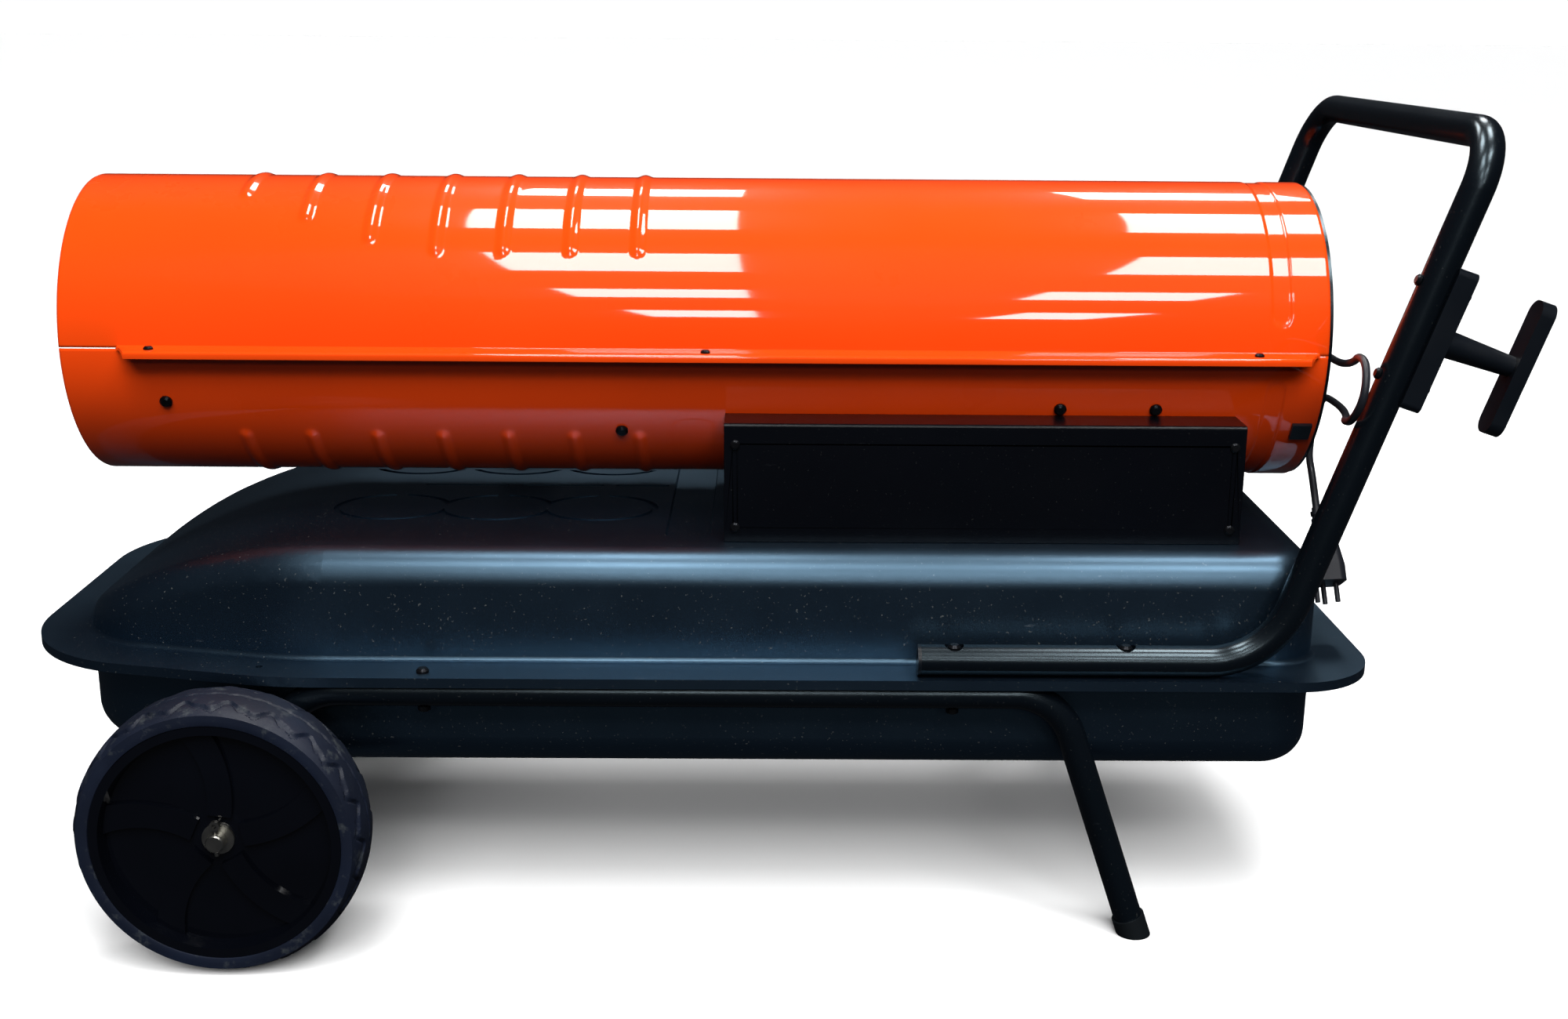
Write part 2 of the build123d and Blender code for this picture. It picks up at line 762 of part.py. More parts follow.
with BuildPart() as cord_wrap_bracket:
    base_top = handle_d / 2 + wrap_base_t
    base_foot = handle_d * 0.36
    with BuildSketch(bracket_plane.offset(base_foot)):
        RectangleRounded(wrap_length, wrap_width, 6)
    extrude(amount=base_top - base_foot)
    with BuildSketch(bracket_plane.offset(base_top)):
        Circle(wrap_post_d[0] / 2)
    with BuildSketch(bracket_plane.offset(base_top + wrap_post)):
        Circle(wrap_post_d[1] / 2)
    loft()
    with BuildSketch(bracket_plane.offset(base_top + wrap_post)):
        RectangleRounded(wrap_bar_length, wrap_width, 12)
    extrude(amount=wrap_bar_t)
    leg_line = Plane(
        origin=bracket_plane.origin, x_dir=bracket_plane.z_dir, z_dir=bracket_plane.x_dir
    )
    with Locations(leg_line):
        Cylinder(handle_d / 2, 2 * wrap_length, mode=Mode.SUBTRACT)
    with Locations(*wrap_bolt_planes):
        Cylinder(wrap_bolt_d / 2 + clear_hole, 4 * handle_d, mode=Mode.SUBTRACT)
save(cord_wrap_bracket.part, "cord_wrap_bracket")

with BuildPart() as cord_wrap_bolts:
    for plane in wrap_bolt_planes:
        seat = plane.offset(-handle_d / 2)
        with Locations(Plane(origin=seat.origin, x_dir=seat.x_dir, z_dir=-seat.z_dir)):
            add(bolt(wrap_bolt_head_d, 3.4, wrap_bolt_d, handle_d + wrap_base_t))
save(cord_wrap_bolts.part, "cord_wrap_bolts")


# ---------------------------------------------------------------- wheels
def wheel_frame(side):
    """Plane in the wheel's middle: local Z is the axle, pointing away from the heater."""
    return Plane(origin=(at(0), side * wheel_y, axle_z), x_dir=(1, 0, 0), z_dir=(0, side, 0))


def turned(points, arcs=()):
    """Solid turned about local Z from (radius, height) points; arcs bulge the sides they name."""
    with BuildPart() as part:
        with BuildSketch(Plane.XZ):
            with BuildLine():
                ring = list(points) + [points[0]]
                for n in range(len(points)):
                    if n in dict(arcs):
                        RadiusArc(ring[n], ring[n + 1], dict(arcs)[n])
                    else:
                        Line(ring[n], ring[n + 1])
            make_face()
        revolve(axis=Axis.Z)
    return part.part


crown_bend = (crown_half**2 + crown_drop**2) / (2 * crown_drop)
half_width = wheel_width / 2
lip_in = half_width - 4.0
web_top = half_width - dish_depth
tyre_profile = [
    (tyre_seat_r, -lip_in), (rim_r, -lip_in), (rim_r, -half_width), (shoulder_at, -half_width),
    (wheel_r - crown_drop, -crown_half), (wheel_r - crown_drop, crown_half),
    (shoulder_at, half_width), (rim_r, half_width), (rim_r, lip_in), (tyre_seat_r, lip_in),
]
with BuildPart() as tyre:
    add(turned(tyre_profile, ((3, -shoulder_bend), (4, -crown_bend), (5, -shoulder_bend))))
    for level, turn in ((1, 0.0), (-1, 180.0 / block_count)):
        with Locations((0, 0, level * (half_width - lug_width / 2))):
            with PolarLocations(wheel_r, block_count, start_angle=turn):
                Box(2 * lug_depth, lug_gap, lug_width, mode=Mode.SUBTRACT)

wheel_profile = [
    (axle_d / 2 + running_clearance, -half_width), (hub_r, -half_width),
    (hub_r, web_top - web_sheet), (rim_r - 12, web_top - web_sheet),
    (tyre_seat_r - rim_wall, web_top - 8), (tyre_seat_r - rim_wall, -half_width + 1),
    (rim_r, -half_width + 1), (rim_r, -lip_in), (tyre_seat_r, -lip_in), (tyre_seat_r, lip_in),
    (rim_r, lip_in), (rim_r, half_width - 1), (tyre_seat_r - 2, half_width - 1),
    (tyre_seat_r - rim_wall - 1.5, web_top),
    (hub_r + 6, web_top), (hub_r, half_width - hub_recess),
    (axle_d / 2 + running_clearance, half_width - hub_recess),
]
with BuildPart() as wheel:
    add(turned(wheel_profile))
    with BuildSketch(Plane.XY.offset(web_top - 0.5)):
        with BuildLine():
            low, high, tip_y, root_y = spoke_sweep
            lead = RadiusArc((hub_r + 2, low), (rim_r - 14, high), -spoke_bends[0])
            tip = RadiusArc(lead @ 1, (rim_r - 26, tip_y), -(rim_r - 9))
            trail = RadiusArc(tip @ 1, (hub_r - 2, root_y), spoke_bends[1])
            Line(trail @ 1, lead @ 0)
        make_face()
    blade = extrude(amount=spoke_rise)
    for n in range(1, spoke_count):
        add(blade.rotate(Axis.Z, 360 * n / spoke_count))

for side, word in ((-1, "near"), (1, "far")):
    save((wheel_frame(side).location * tyre.part), f"tyre_{word}")
    save((wheel_frame(side).location * wheel.part), f"wheel_{word}")


# ---------------------------------------------------------------- barrel
def barrel_rod(radius, x0, x1, mode=Mode.ADD):
    """Cylinder about the barrel's axis between two stations."""
    with Locations(across_barrel((x0 + x1) / 2)):
        Cylinder(radius, x1 - x0, mode=mode)


def swage(station, reach, angle, turn, inset):
    """Stretch of a rib turned about a line along the barrel, at a reach from the barrel's axis."""
    rise = barrel_r + rib_rise - reach - inset
    section_r = (rib_width**2 / 4 + rib_rise**2) / (2 * rib_rise) - inset
    root = rib_rise + rib_root
    half = sqrt(section_r**2 - (section_r - root) ** 2)
    out = Vector(0, -cos(radians(angle)), sin(radians(angle)))
    centre = Vector(at(station), 0, barrel_z) + out * reach
    with BuildPart() as stretch:
        with BuildSketch(Plane(origin=centre, x_dir=out, z_dir=Vector(1, 0, 0).cross(out))):
            with BuildLine():
                crown = ThreePointArc((rise - root, -half), (rise, 0), (rise - root, half))
                Line(crown @ 1, crown @ 0)
            make_face()
        revolve(axis=Axis(centre, (-turn, 0, 0)), revolution_arc=abs(turn))
    return stretch.part


def half_skin(rib_angles, level, inset):
    """Solid half barrel with its ribs and groove, drawn inside its outer skin by an inset."""
    radius = barrel_r - inset
    foot = level - 2 * inset
    edge = sqrt(radius**2 - foot**2)
    end_reach = barrel_r + rib_rise - rib_end_r
    dive = degrees(acos(1 - (rib_rise + 0.5) / rib_end_r))
    with BuildPart() as skin:
        with BuildSketch(across_barrel(outlet_x)):
            with BuildLine():
                arc = ThreePointArc((-edge, foot), (0, radius), (edge, foot))
                Line(arc @ 1, arc @ 0)
            make_face()
        extrude(amount=intake_x - outlet_x)
        for n, (low, high) in enumerate(rib_angles):
            station = rib_last_x - rib_pitch * (rib_count - 1 - n)
            add(swage(station, 0, low, high - low, inset))
            add(swage(station, end_reach, low, -dive, inset))
            add(swage(station, end_reach, high, dive, inset))
        with BuildSketch(across_barrel(groove_x - groove_width / 2 - inset)):
            Circle(barrel_r + 1)
            Circle(radius - groove_depth, mode=Mode.SUBTRACT)
            with Locations((0, barrel_r * (1 + sin(radians(groove_end_deg))) - inset)):
                Rectangle(3 * barrel_r, 2 * barrel_r, mode=Mode.INTERSECT)
        extrude(amount=groove_width + 2 * inset, mode=Mode.SUBTRACT)
    return skin.part


def half_shell(up, rib_angles):
    """One half of the barrel in sheet, with its ribs, its groove and its seam flanges."""
    level = -up * seam_drop
    sheet = seam_sheet if up > 0 else -seam_sheet
    outer_y = barrel_r + seam_reach - (0 if up > 0 else seam_sheet + 0.2)
    pressed = half_skin(rib_angles, level, 0) - half_skin(rib_angles, level, barrel_wall)
    with BuildPart() as shell:
        add(pressed if up > 0 else pressed.rotate(Axis((0, 0, barrel_z), (1, 0, 0)), 180))
        for side in (-1, 1):
            with BuildSketch(Plane.XY.offset(seam_z)) as plate:
                Polygon(
                    (at(seam_front_x), side * (barrel_r - 1)),
                    (at(seam_front_x + seam_taper), side * outer_y),
                    (at(seam_rear_x - seam_taper), side * outer_y),
                    (at(seam_rear_x), side * (barrel_r - 1)),
                    align=None,
                )
                with Locations(*[
                    (at(x), side * (barrel_r + seam_screw_reach)) for x in seam_screws_x
                ]):
                    Circle(flange_screw_d / 2 + clear_hole, mode=Mode.SUBTRACT)
            extrude(plate.sketch, amount=sheet)
            slit_x = (outlet_x + seam_front_x) / 2
            with Locations((at(slit_x), side * barrel_r, seam_z + seam_slit / 6)):
                Box(seam_front_x - outlet_x, 8, seam_slit, mode=Mode.SUBTRACT)
            with Locations(around_barrel(dimple_x, 90 - side * (90 - dimple_deg))):
                Sphere(dimple_r, mode=Mode.SUBTRACT)
            if up > 0:
                lip_x0 = seam_front_x + seam_taper
                lip_x1 = seam_rear_x - seam_taper
                middle = (at((lip_x0 + lip_x1) / 2), side * (outer_y - seam_sheet / 2))
                with Locations((*middle, seam_z + seam_sheet - seam_lip / 2)):
                    Box(lip_x1 - lip_x0, seam_sheet, seam_lip)
    return shell.part


def parted(part, stations):
    """The same solid with its long round faces parted at the stations, so their meshes stay true."""
    bands = []
    for x0, x1 in zip(stations[:-1], stations[1:]):
        with BuildPart() as band:
            add(part)
            with BuildSketch(across_barrel(x0)):
                Rectangle(3 * barrel_r, 3 * barrel_r)
            extrude(amount=x1 - x0, mode=Mode.INTERSECT)
        bands.append(band.part)
    with SkipClean():
        whole = bands[0] + bands[1:]
    return whole


first_cut = rib_last_x - rib_pitch * (rib_count - 0.5)
cut_count = int((intake_x - first_cut) / rib_pitch) + 1
shell_cuts = [first_cut + rib_pitch * n for n in range(cut_count)]
shell_cuts = [outlet_x - 1, *shell_cuts, intake_x + 1]
upper_ribs = [(low, 180 - low) for low in rib_ends_deg]
lower_ribs = [(low_rib_deg, 180 - low_rib_deg)] * rib_count
side_bolt_planes = [
    around_barrel(x, angle) for x, drop in side_bolts for angle in (-drop, 180 + drop)
]
hose_holes = [(at(fuel_rise_x), fuel_rise_y), (at(air_rise_x), air_y), (at(air_drop_x), 0)]

with BuildPart() as upper_shell:
    add(half_shell(1, upper_ribs))
save(parted(upper_shell.part, shell_cuts), "upper_shell")

with BuildPart() as lower_shell:
    add(half_shell(-1, lower_ribs))
    with Locations(*side_bolt_planes):
        Cylinder(side_bolt_d / 2 + clear_hole, 4 * barrel_wall, mode=Mode.SUBTRACT)
    with Locations(*[(x, y, barrel_z) for x, y in hose_holes]):
        hang(hose_r + 1, 2 * barrel_r, mode=Mode.SUBTRACT)
    with Locations(around_barrel(snap_plug_x, -snap_plug_deg)):
        hole = snap_plug_size - snap_plug_hole_less
        Box(hole, hole, 4 * barrel_wall, mode=Mode.SUBTRACT)
save(parted(lower_shell.part, shell_cuts), "lower_shell")

with BuildPart() as snap_plug:
    plug_face = around_barrel(snap_plug_x, -snap_plug_deg)
    with Locations(plug_face.offset(snap_plug_t)):
        Box(
            snap_plug_size, snap_plug_size, snap_plug_t + 1,
            align=(Align.CENTER, Align.CENTER, Align.MAX),
        )
    barrel_rod(barrel_r, outlet_x, intake_x, Mode.SUBTRACT)
    leg_at = (snap_plug_size - snap_plug_hole_less - snap_leg_t) / 2
    with Locations(plug_face.offset(0.5)):
        with Locations((-leg_at, 0, 0), (leg_at, 0, 0)):
            Box(
                snap_leg_t, snap_plug_size - snap_plug_hole_less - 1, snap_leg,
                align=(Align.CENTER, Align.CENTER, Align.MAX),
            )
save(snap_plug.part, "snap_plug")

with BuildPart() as flange_screws:
    for x in seam_screws_x:
        for side in (-1, 1):
            place = (at(x), side * (barrel_r + seam_screw_reach), seam_z + seam_sheet)
            with Locations(place):
                add(bolt(flange_screw_d * 2.2, 3, flange_screw_d, 2 * seam_sheet))
save(flange_screws.part, "flange_screws")

with BuildPart() as side_bolts_set:
    for plane in side_bolt_planes:
        with Locations(plane.offset(head_lift)):
            grip = head_lift + barrel_wall + bracket_sheet + 0.3
            add(bolt(bolt_head_d, bolt_head_h, side_bolt_d, grip))
save(side_bolts_set.part, "side_bolts")

# ---------------------------------------------------------------- burner
wall_in_r = chamber_r - chamber_wall
plate_x = chamber_rear_x + chamber_cone
with BuildPart() as combustion_chamber:
    with Locations(across_barrel(0)):
        add(turned([
            (wall_in_r, chamber_front_x), (chamber_r, chamber_front_x),
            (chamber_r, chamber_rear_x), (cone_r, plate_x + chamber_wall),
            (burner_r + clear_hole, plate_x + chamber_wall), (burner_r + clear_hole, plate_x),
            (cone_r - 1, plate_x), (wall_in_r, chamber_rear_x - 0.5),
        ]))
    for n in (1, 2):
        with BuildSketch(across_barrel(chamber_front_x + n * chamber_band_pitch)):
            Circle(chamber_r + 1.5)
            Circle(chamber_r - 0.5, mode=Mode.SUBTRACT)
        extrude(amount=8)
    with Locations(across_barrel(chamber_rear_x - 30)):
        with PolarLocations(chamber_r, 10):
            Cylinder(5, 4 * chamber_wall, rotation=(0, 90, 0), mode=Mode.SUBTRACT)
save(combustion_chamber.part, "combustion_chamber")

with BuildPart() as chamber_brackets:
    for plane in side_bolt_planes[:4]:
        with Locations(plane):
            for height in (barrel_wall + bracket_sheet / 2, barrel_r - chamber_r - bracket_sheet / 2):
                with Locations((0, 6, -height)):
                    Box(bracket_width, bracket_width + 8, bracket_sheet)
            with Locations((0, 19, -(barrel_r - chamber_r) / 2)):
                Box(bracket_width, bracket_sheet, barrel_r - chamber_r + 4)
    with BuildSketch(across_barrel(outlet_x)):
        Circle(shell_in_r)
        Circle(chamber_r, mode=Mode.SUBTRACT)
    extrude(amount=intake_x - outlet_x, mode=Mode.INTERSECT)
    with Locations(*side_bolt_planes[:4]):
        Cylinder(side_bolt_d / 2 + clear_hole, 8 * barrel_wall, mode=Mode.SUBTRACT)
save(chamber_brackets.part, "chamber_brackets")

with BuildPart() as flame_baffle:
    with BuildSketch(across_barrel(baffle_x)):
        Circle(baffle_r)
        with PolarLocations(baffle_r * 0.72, 10):
            Circle(7, mode=Mode.SUBTRACT)
    extrude(amount=chamber_wall)
    with BuildSketch(across_barrel(baffle_x)):
        with PolarLocations((baffle_r + chamber_r) / 2, 3, start_angle=90):
            Rectangle(chamber_r - baffle_r + 12, 12)
        Circle(wall_in_r, mode=Mode.INTERSECT)
    extrude(amount=chamber_wall)
    with BuildSketch(across_barrel(baffle_x)):
        with PolarLocations(wall_in_r - 1, 3, start_angle=90):
            Rectangle(5, 12)
        Circle(wall_in_r, mode=Mode.INTERSECT)
        Circle(wall_in_r - chamber_wall, mode=Mode.SUBTRACT)
    extrude(amount=14)
save(flame_baffle.part, "flame_baffle")

cup_front = plate_x + chamber_wall - burner_length + 12
cup_rear = plate_x + chamber_wall + 12
with BuildPart() as burner_head:
    flange_at = plate_x + chamber_wall
    with Locations(across_barrel(0)):
        add(turned([
            (throat_r, cup_front), (burner_r, cup_front), (burner_r, flange_at),
            (burner_r + 8, flange_at), (burner_r + 8, flange_at + 1.5), (burner_r, flange_at + 1.5),
            (burner_r, cup_rear), (nozzle_r, cup_rear), (nozzle_r, cup_rear - 1.5),
            (burner_r - 1.5, cup_rear - 1.5), (burner_r - 1.5, cup_front + 1.5),
            (throat_r, cup_front + 1.5),
        ]))
    with Locations(across_barrel(cup_rear)):
        with PolarLocations(burner_r - 10, 8, start_angle=0):
            Box(10, 4, 6, mode=Mode.SUBTRACT)
        with Locations((-electrode_y, electrode_z), (electrode_y, electrode_z)):
            Cylinder(electrode_r, 8, mode=Mode.SUBTRACT)
save(burner_head.part, "burner_head")

with BuildPart() as nozzle:
    with Locations(across_barrel(0)):
        add(turned([
            (0, cup_rear - 24), (1.5, cup_rear - 24), (6, cup_rear - 18), (nozzle_r, cup_rear - 16),
            (nozzle_r, cup_rear), (nozzle_r + 5, cup_rear), (nozzle_r + 5, cup_rear + 3),
            (nozzle_r, cup_rear + 3), (nozzle_r, nozzle_rear_x), (0, nozzle_rear_x),
        ]))
    with Locations(across_barrel(nozzle_rear_x)):
        with Locations((stub_y, 0), (-stub_y, 0)):
            rod(hose_bore, stub_length)
save(nozzle.part, "nozzle")

with BuildPart() as electrodes:
    for side in (-1, 1):
        with Locations(across_barrel(cup_front + 30)):
            with Locations((side * electrode_y, electrode_z)):
                rod(electrode_r, cup_rear + 16 - cup_front - 30)
        wire = [
            (at(cup_front + 31), side * electrode_y, barrel_z + electrode_z),
            (at(cup_front + 20), side * electrode_y, barrel_z + electrode_z),
            (at(cup_front + 14), side * 4, barrel_z + 5),
        ]
        add(bent_tube(wire, [3], 1, 0))
save(electrodes.part, "electrodes")

with BuildPart() as photocell:
    with Locations(across_barrel(cup_rear)):
        with Locations((0, -photocell_drop)):
            rod(photocell_r, 20)
            rod(photocell_r + 2, 4)
save(photocell.part, "photocell")

# ---------------------------------------------------------------- motor, fan and pump
bore_r = shaft_r + running_clearance
cover_rear_x = pump_rear_x + pump_cover_length
motor_foot_z = barrel_z - motor_r - motor_seat
with BuildPart() as motor:
    with Locations(across_barrel(0)):
        add(turned([
            (bore_r, motor_front_x), (30, motor_front_x), (motor_r, motor_front_x + 8),
            (motor_r, motor_rear_x - 8), (pump_r, motor_rear_x), (bore_r, motor_rear_x),
        ]))
    with BuildSketch(across_barrel(motor_front_x + 10)):
        with Locations((0, motor_foot_z - barrel_z)):
            Rectangle(90, 34, align=(Align.CENTER, Align.MIN))
        Circle(motor_r - 3, mode=Mode.SUBTRACT)
    extrude(amount=motor_length - 20)
    with BuildSketch(across_barrel(motor_front_x + 20)):
        with PolarLocations(motor_r, 18, start_angle=0, angular_range=180):
            Rectangle(7, 2.4)
    extrude(amount=motor_length - 40)
save(motor.part, "motor")

with BuildPart() as motor_bracket:
    with BuildSketch(across_barrel(motor_front_x)):
        Circle(shell_in_r)
        Circle(shell_in_r - bracket_sheet, mode=Mode.SUBTRACT)
        drop = barrel_z - motor_foot_z
        with Locations((0, -drop)):
            Rectangle(3 * barrel_r, bracket_tab, mode=Mode.INTERSECT)
        with Locations((0, -drop - bracket_sheet / 2)):
            width = 2 * sqrt((shell_in_r - 1) ** 2 - (drop + bracket_sheet) ** 2)
            Rectangle(width, bracket_sheet)
    extrude(amount=motor_length)
    with Locations(*side_bolt_planes[4:]):
        Cylinder(side_bolt_d / 2 + clear_hole, 8 * barrel_wall, mode=Mode.SUBTRACT)
save(motor_bracket.part, "motor_bracket")

with BuildPart() as fan:
    for n in range(blade_count):
        turn = 360 * n / blade_count
        with BuildSketch(Plane.XZ) as blade_plan:
            Polygon(
                (-blade_chord * 0.32, fan_hub_r - 4), (blade_chord * 0.32, fan_hub_r - 4),
                (blade_chord * 0.5, fan_tip_r - 30), (blade_chord * 0.34, fan_tip_r + 2),
                (-blade_chord * 0.5, fan_tip_r + 2), (-blade_chord * 0.46, fan_tip_r - 50),
                align=None,
            )
        blade = extrude(blade_plan.sketch, amount=blade_sheet / 2, both=True, mode=Mode.PRIVATE)
        blade = blade.rotate(Axis.Z, 90 - blade_pitch_deg).rotate(Axis.X, turn)
        add(blade.moved(Location((at(fan_x + fan_depth / 2), 0, barrel_z))))
    with BuildSketch(across_barrel(fan_x - 12)):
        Circle(fan_tip_r)
    extrude(amount=fan_depth + 24, mode=Mode.INTERSECT)
    barrel_rod(fan_hub_r, fan_x, fan_x + fan_depth)
    barrel_rod(shaft_r, fan_x - fan_depth, fan_x + 2 * fan_depth, Mode.SUBTRACT)
save(fan.part, "fan")

with BuildPart() as rotor_shaft:
    barrel_rod(shaft_r, fan_x - 6, pump_rear_x + shaft_in_cover)
    chamfer(rotor_shaft.edges().filter_by(GeomType.CIRCLE), 0.8)
save(rotor_shaft.part, "rotor_shaft")

with BuildPart() as pump_housing:
    with BuildSketch(across_barrel(motor_rear_x)):
        Circle(pump_r)
        with Locations((0, pump_offset)):
            Circle(pump_bore_r, mode=Mode.SUBTRACT)
    extrude(amount=pump_length)
save(pump_housing.part, "pump_housing")

with BuildPart() as pump_rotor:
    with BuildSketch(across_barrel(motor_rear_x + end_play)):
        Circle(pump_rotor_r)
        Circle(shaft_r, mode=Mode.SUBTRACT)
        with PolarLocations(pump_rotor_r - 5, 4):
            Rectangle(12, 2.5, mode=Mode.SUBTRACT)
    extrude(amount=pump_length - 2 * end_play)
save(pump_rotor.part, "pump_rotor")

with BuildPart() as pump_end_cover:
    barrel_rod(pump_r, pump_rear_x, pump_rear_x + 8)
    barrel_rod(pump_r - 8, pump_rear_x, cover_rear_x)
    barrel_rod(bore_r, pump_rear_x, pump_rear_x + shaft_in_cover + 1, Mode.SUBTRACT)
    with Locations((at(air_drop_x), 0, barrel_z - pump_r + 12)):
        hang(hose_bore, 24)
    with Locations(across_barrel(pump_rear_x + 8)):
        with PolarLocations(pump_r - 3.7, 6):
            rod(2.8, 3)
save(pump_end_cover.part, "pump_end_cover")

with BuildPart() as pressure_gauge:
    with Locations(across_barrel(cover_rear_x)):
        with Locations((0, 8)):
            rod(gauge_r, 12)
            with Locations((0, 0, 12)):
                hang(gauge_r - 1.5, 1.5, mode=Mode.SUBTRACT)
                with Locations((0, 0, -1.5)):
                    rod(2.5, 1)
                with Locations(Location((0, 0, -1.2), (0, 0, 35))):
                    Box(20, 1, 0.6)
save(pressure_gauge.part, "pressure_gauge")

with BuildPart() as rear_guard:
    with BuildSketch(across_barrel(intake_x + guard_proud - guard_band)):
        Circle(shell_in_r)
        Circle(shell_in_r - guard_wire, mode=Mode.SUBTRACT)
    extrude(amount=guard_band)
    with BuildSketch(across_barrel(intake_x + guard_proud - 2 * guard_wire)):
        for n in range(guard_rings):
            radius = 20 + n * (shell_in_r - 22) / guard_rings
            Circle(radius)
            Circle(radius - guard_wire, mode=Mode.SUBTRACT)
        with PolarLocations(shell_in_r / 2 + 4, 6, start_angle=30):
            Rectangle(shell_in_r - 10, guard_wire)
    extrude(amount=guard_wire)
save(rear_guard.part, "rear_guard")

# ---------------------------------------------------------------- hoses
run_z = roof_z + box_sheet + 3 * hose_r
fuel_route = [
    (*pickup_at, roof_z + 4), (at(fuel_rise_x), fuel_rise_y, barrel_z - 60),
    (at(fuel_rise_x), stub_y, barrel_z), (at(nozzle_rear_x + 1), stub_y, barrel_z),
]
with BuildPart() as fuel_hose:
    add(bent_tube(fuel_route, [40, 18], hose_r, hose_bore))
save(fuel_hose.part, "fuel_hose")

air_route = [
    (at(air_drop_x), 0, barrel_z - pump_r + 7), (at(air_drop_x), 0, run_z),
    (at(air_rise_x), air_y, run_z), (at(air_rise_x), air_y, barrel_z),
    (at(nozzle_rear_x + 1), air_y, barrel_z),
]
with BuildPart() as air_hose:
    add(bent_tube(air_route, [14, 14, 18], hose_r, hose_bore))
save(air_hose.part, "air_hose")

# ---------------------------------------------------------------- control box
box_mid_x = at((box_front_x + box_rear_x) / 2)
box_length = box_rear_x - box_front_x
saddle_y = sqrt(barrel_r**2 - (barrel_z - box_top_z) ** 2)
cover_screws_at = [
    (at(x), side * (box_half + box_sheet), z)
    for x in (box_front_x + cover_screw_in, box_rear_x - cover_screw_in)
    for z in cover_screw_z
    for side in (-1, 1)
]
floor_screws_at = [
    (at(x), side * floor_screw_y, roof_z + box_sheet)
    for x in (box_front_x + 28, box_rear_x - 28)
    for side in (-1, 1)
]


def outward(x, y, z):
    """Plane on a side of the box: local Z points away from the heater, local Y up."""
    out = 1 if y > 0 else -1
    return Plane(origin=(x, y, z), x_dir=(-out, 0, 0), z_dir=(0, out, 0))


with BuildPart() as control_box:
    with BuildSketch(Plane.XY.offset(roof_z)):
        with Locations((box_mid_x, 0)):
            Rectangle(box_length, 2 * box_half)
            Rectangle(box_length - 2 * box_sheet, 2 * (box_half - box_sheet), mode=Mode.SUBTRACT)
    extrude(amount=box_top_z - roof_z)
    with Locations((box_mid_x, 0, roof_z + box_tray)):
        Box(
            box_length - 2 * box_return, 3 * box_half, box_top_z,
            align=(Align.CENTER, Align.CENTER, Align.MIN), mode=Mode.SUBTRACT,
        )
    with Locations((box_mid_x, 0, roof_z)):
        Box(
            box_length, 2 * box_half, box_sheet, align=(Align.CENTER, Align.CENTER, Align.MIN)
        )
    for x, wall in ((box_front_x, box_sheet), (box_rear_x, -box_sheet)):
        with BuildSketch(across_barrel(x)):
            with Locations((0, (roof_z + box_top_z) / 2 - barrel_z)):
                Rectangle(2 * box_half, box_top_z - roof_z)
        extrude(amount=wall)
    corners = control_box.edges().filter_by(Axis.X).filter_by_position(
        Axis.Z, box_top_z - 0.1, box_top_z + 0.1
    )
    fillet([e for e in corners if abs(abs(e.center().Y) - box_half) < 0.1], box_bend - box_sheet)
    barrel_rod(barrel_r, outlet_x, intake_x, Mode.SUBTRACT)
    with Locations(*[outward(x, y, z) for x, y, z in cover_screws_at]):
        Cylinder(cover_screw_d / 2 + clear_hole, 8 * box_sheet, mode=Mode.SUBTRACT)
    with Locations(*floor_screws_at):
        Cylinder(cover_screw_d / 2 + clear_hole, 4 * box_sheet, mode=Mode.SUBTRACT)
    with Locations((*pickup_at, roof_z)):
        Cylinder(pickup_r + 6, 4 * box_sheet, mode=Mode.SUBTRACT)
    with Locations(Plane(origin=(at(box_rear_x), gland_y, gland_z), z_dir=(1, 0, 0))):
        Cylinder(gland_r - 2, 4 * box_sheet, mode=Mode.SUBTRACT)
save(control_box.part, "control_box")


def box_side(side):
    """Outer panel with its flange bent in to the barrel."""
    outer_y = side * (box_half + box_sheet)
    with BuildPart() as panel:
        with BuildSketch(Plane(origin=(at(box_front_x), 0, 0), x_dir=(0, 1, 0), z_dir=(1, 0, 0))):
            with BuildLine():
                bend = FilletPolyline(
                    (outer_y, roof_z + end_play), (outer_y, box_top_z + box_sheet),
                    (side * (saddle_y - 2), box_top_z + box_sheet), radius=box_bend,
                )
                inner = FilletPolyline(
                    (side * (saddle_y - 2), box_top_z), (side * box_half, box_top_z),
                    (side * box_half, roof_z + end_play), radius=box_bend - box_sheet,
                )
                Line(bend @ 1, inner @ 0)
                Line(inner @ 1, bend @ 0)
            make_face()
        extrude(amount=box_length)
        barrel_rod(barrel_r, outlet_x, intake_x, Mode.SUBTRACT)
        mine = [place for place in cover_screws_at if place[1] * side > 0]
        with Locations(*[outward(*place) for place in mine]):
            Cylinder(cover_screw_d / 2 + clear_hole, 8 * box_sheet, mode=Mode.SUBTRACT)
    return panel.part


knob_plane = outward(at(knob_x), box_half + box_sheet, panel_mid_z)
switch_plane = outward(at(switch_x), box_half + box_sheet, panel_mid_z)
save(box_side(-1), "side_cover")

with BuildPart() as control_panel:
    add(box_side(1))
    with Locations(knob_plane):
        Cylinder(stem_r + 1, 8 * box_sheet, mode=Mode.SUBTRACT)
    with Locations(switch_plane):
        Box(switch_width, switch_height, 8 * box_sheet, mode=Mode.SUBTRACT)
save(control_panel.part, "control_panel")

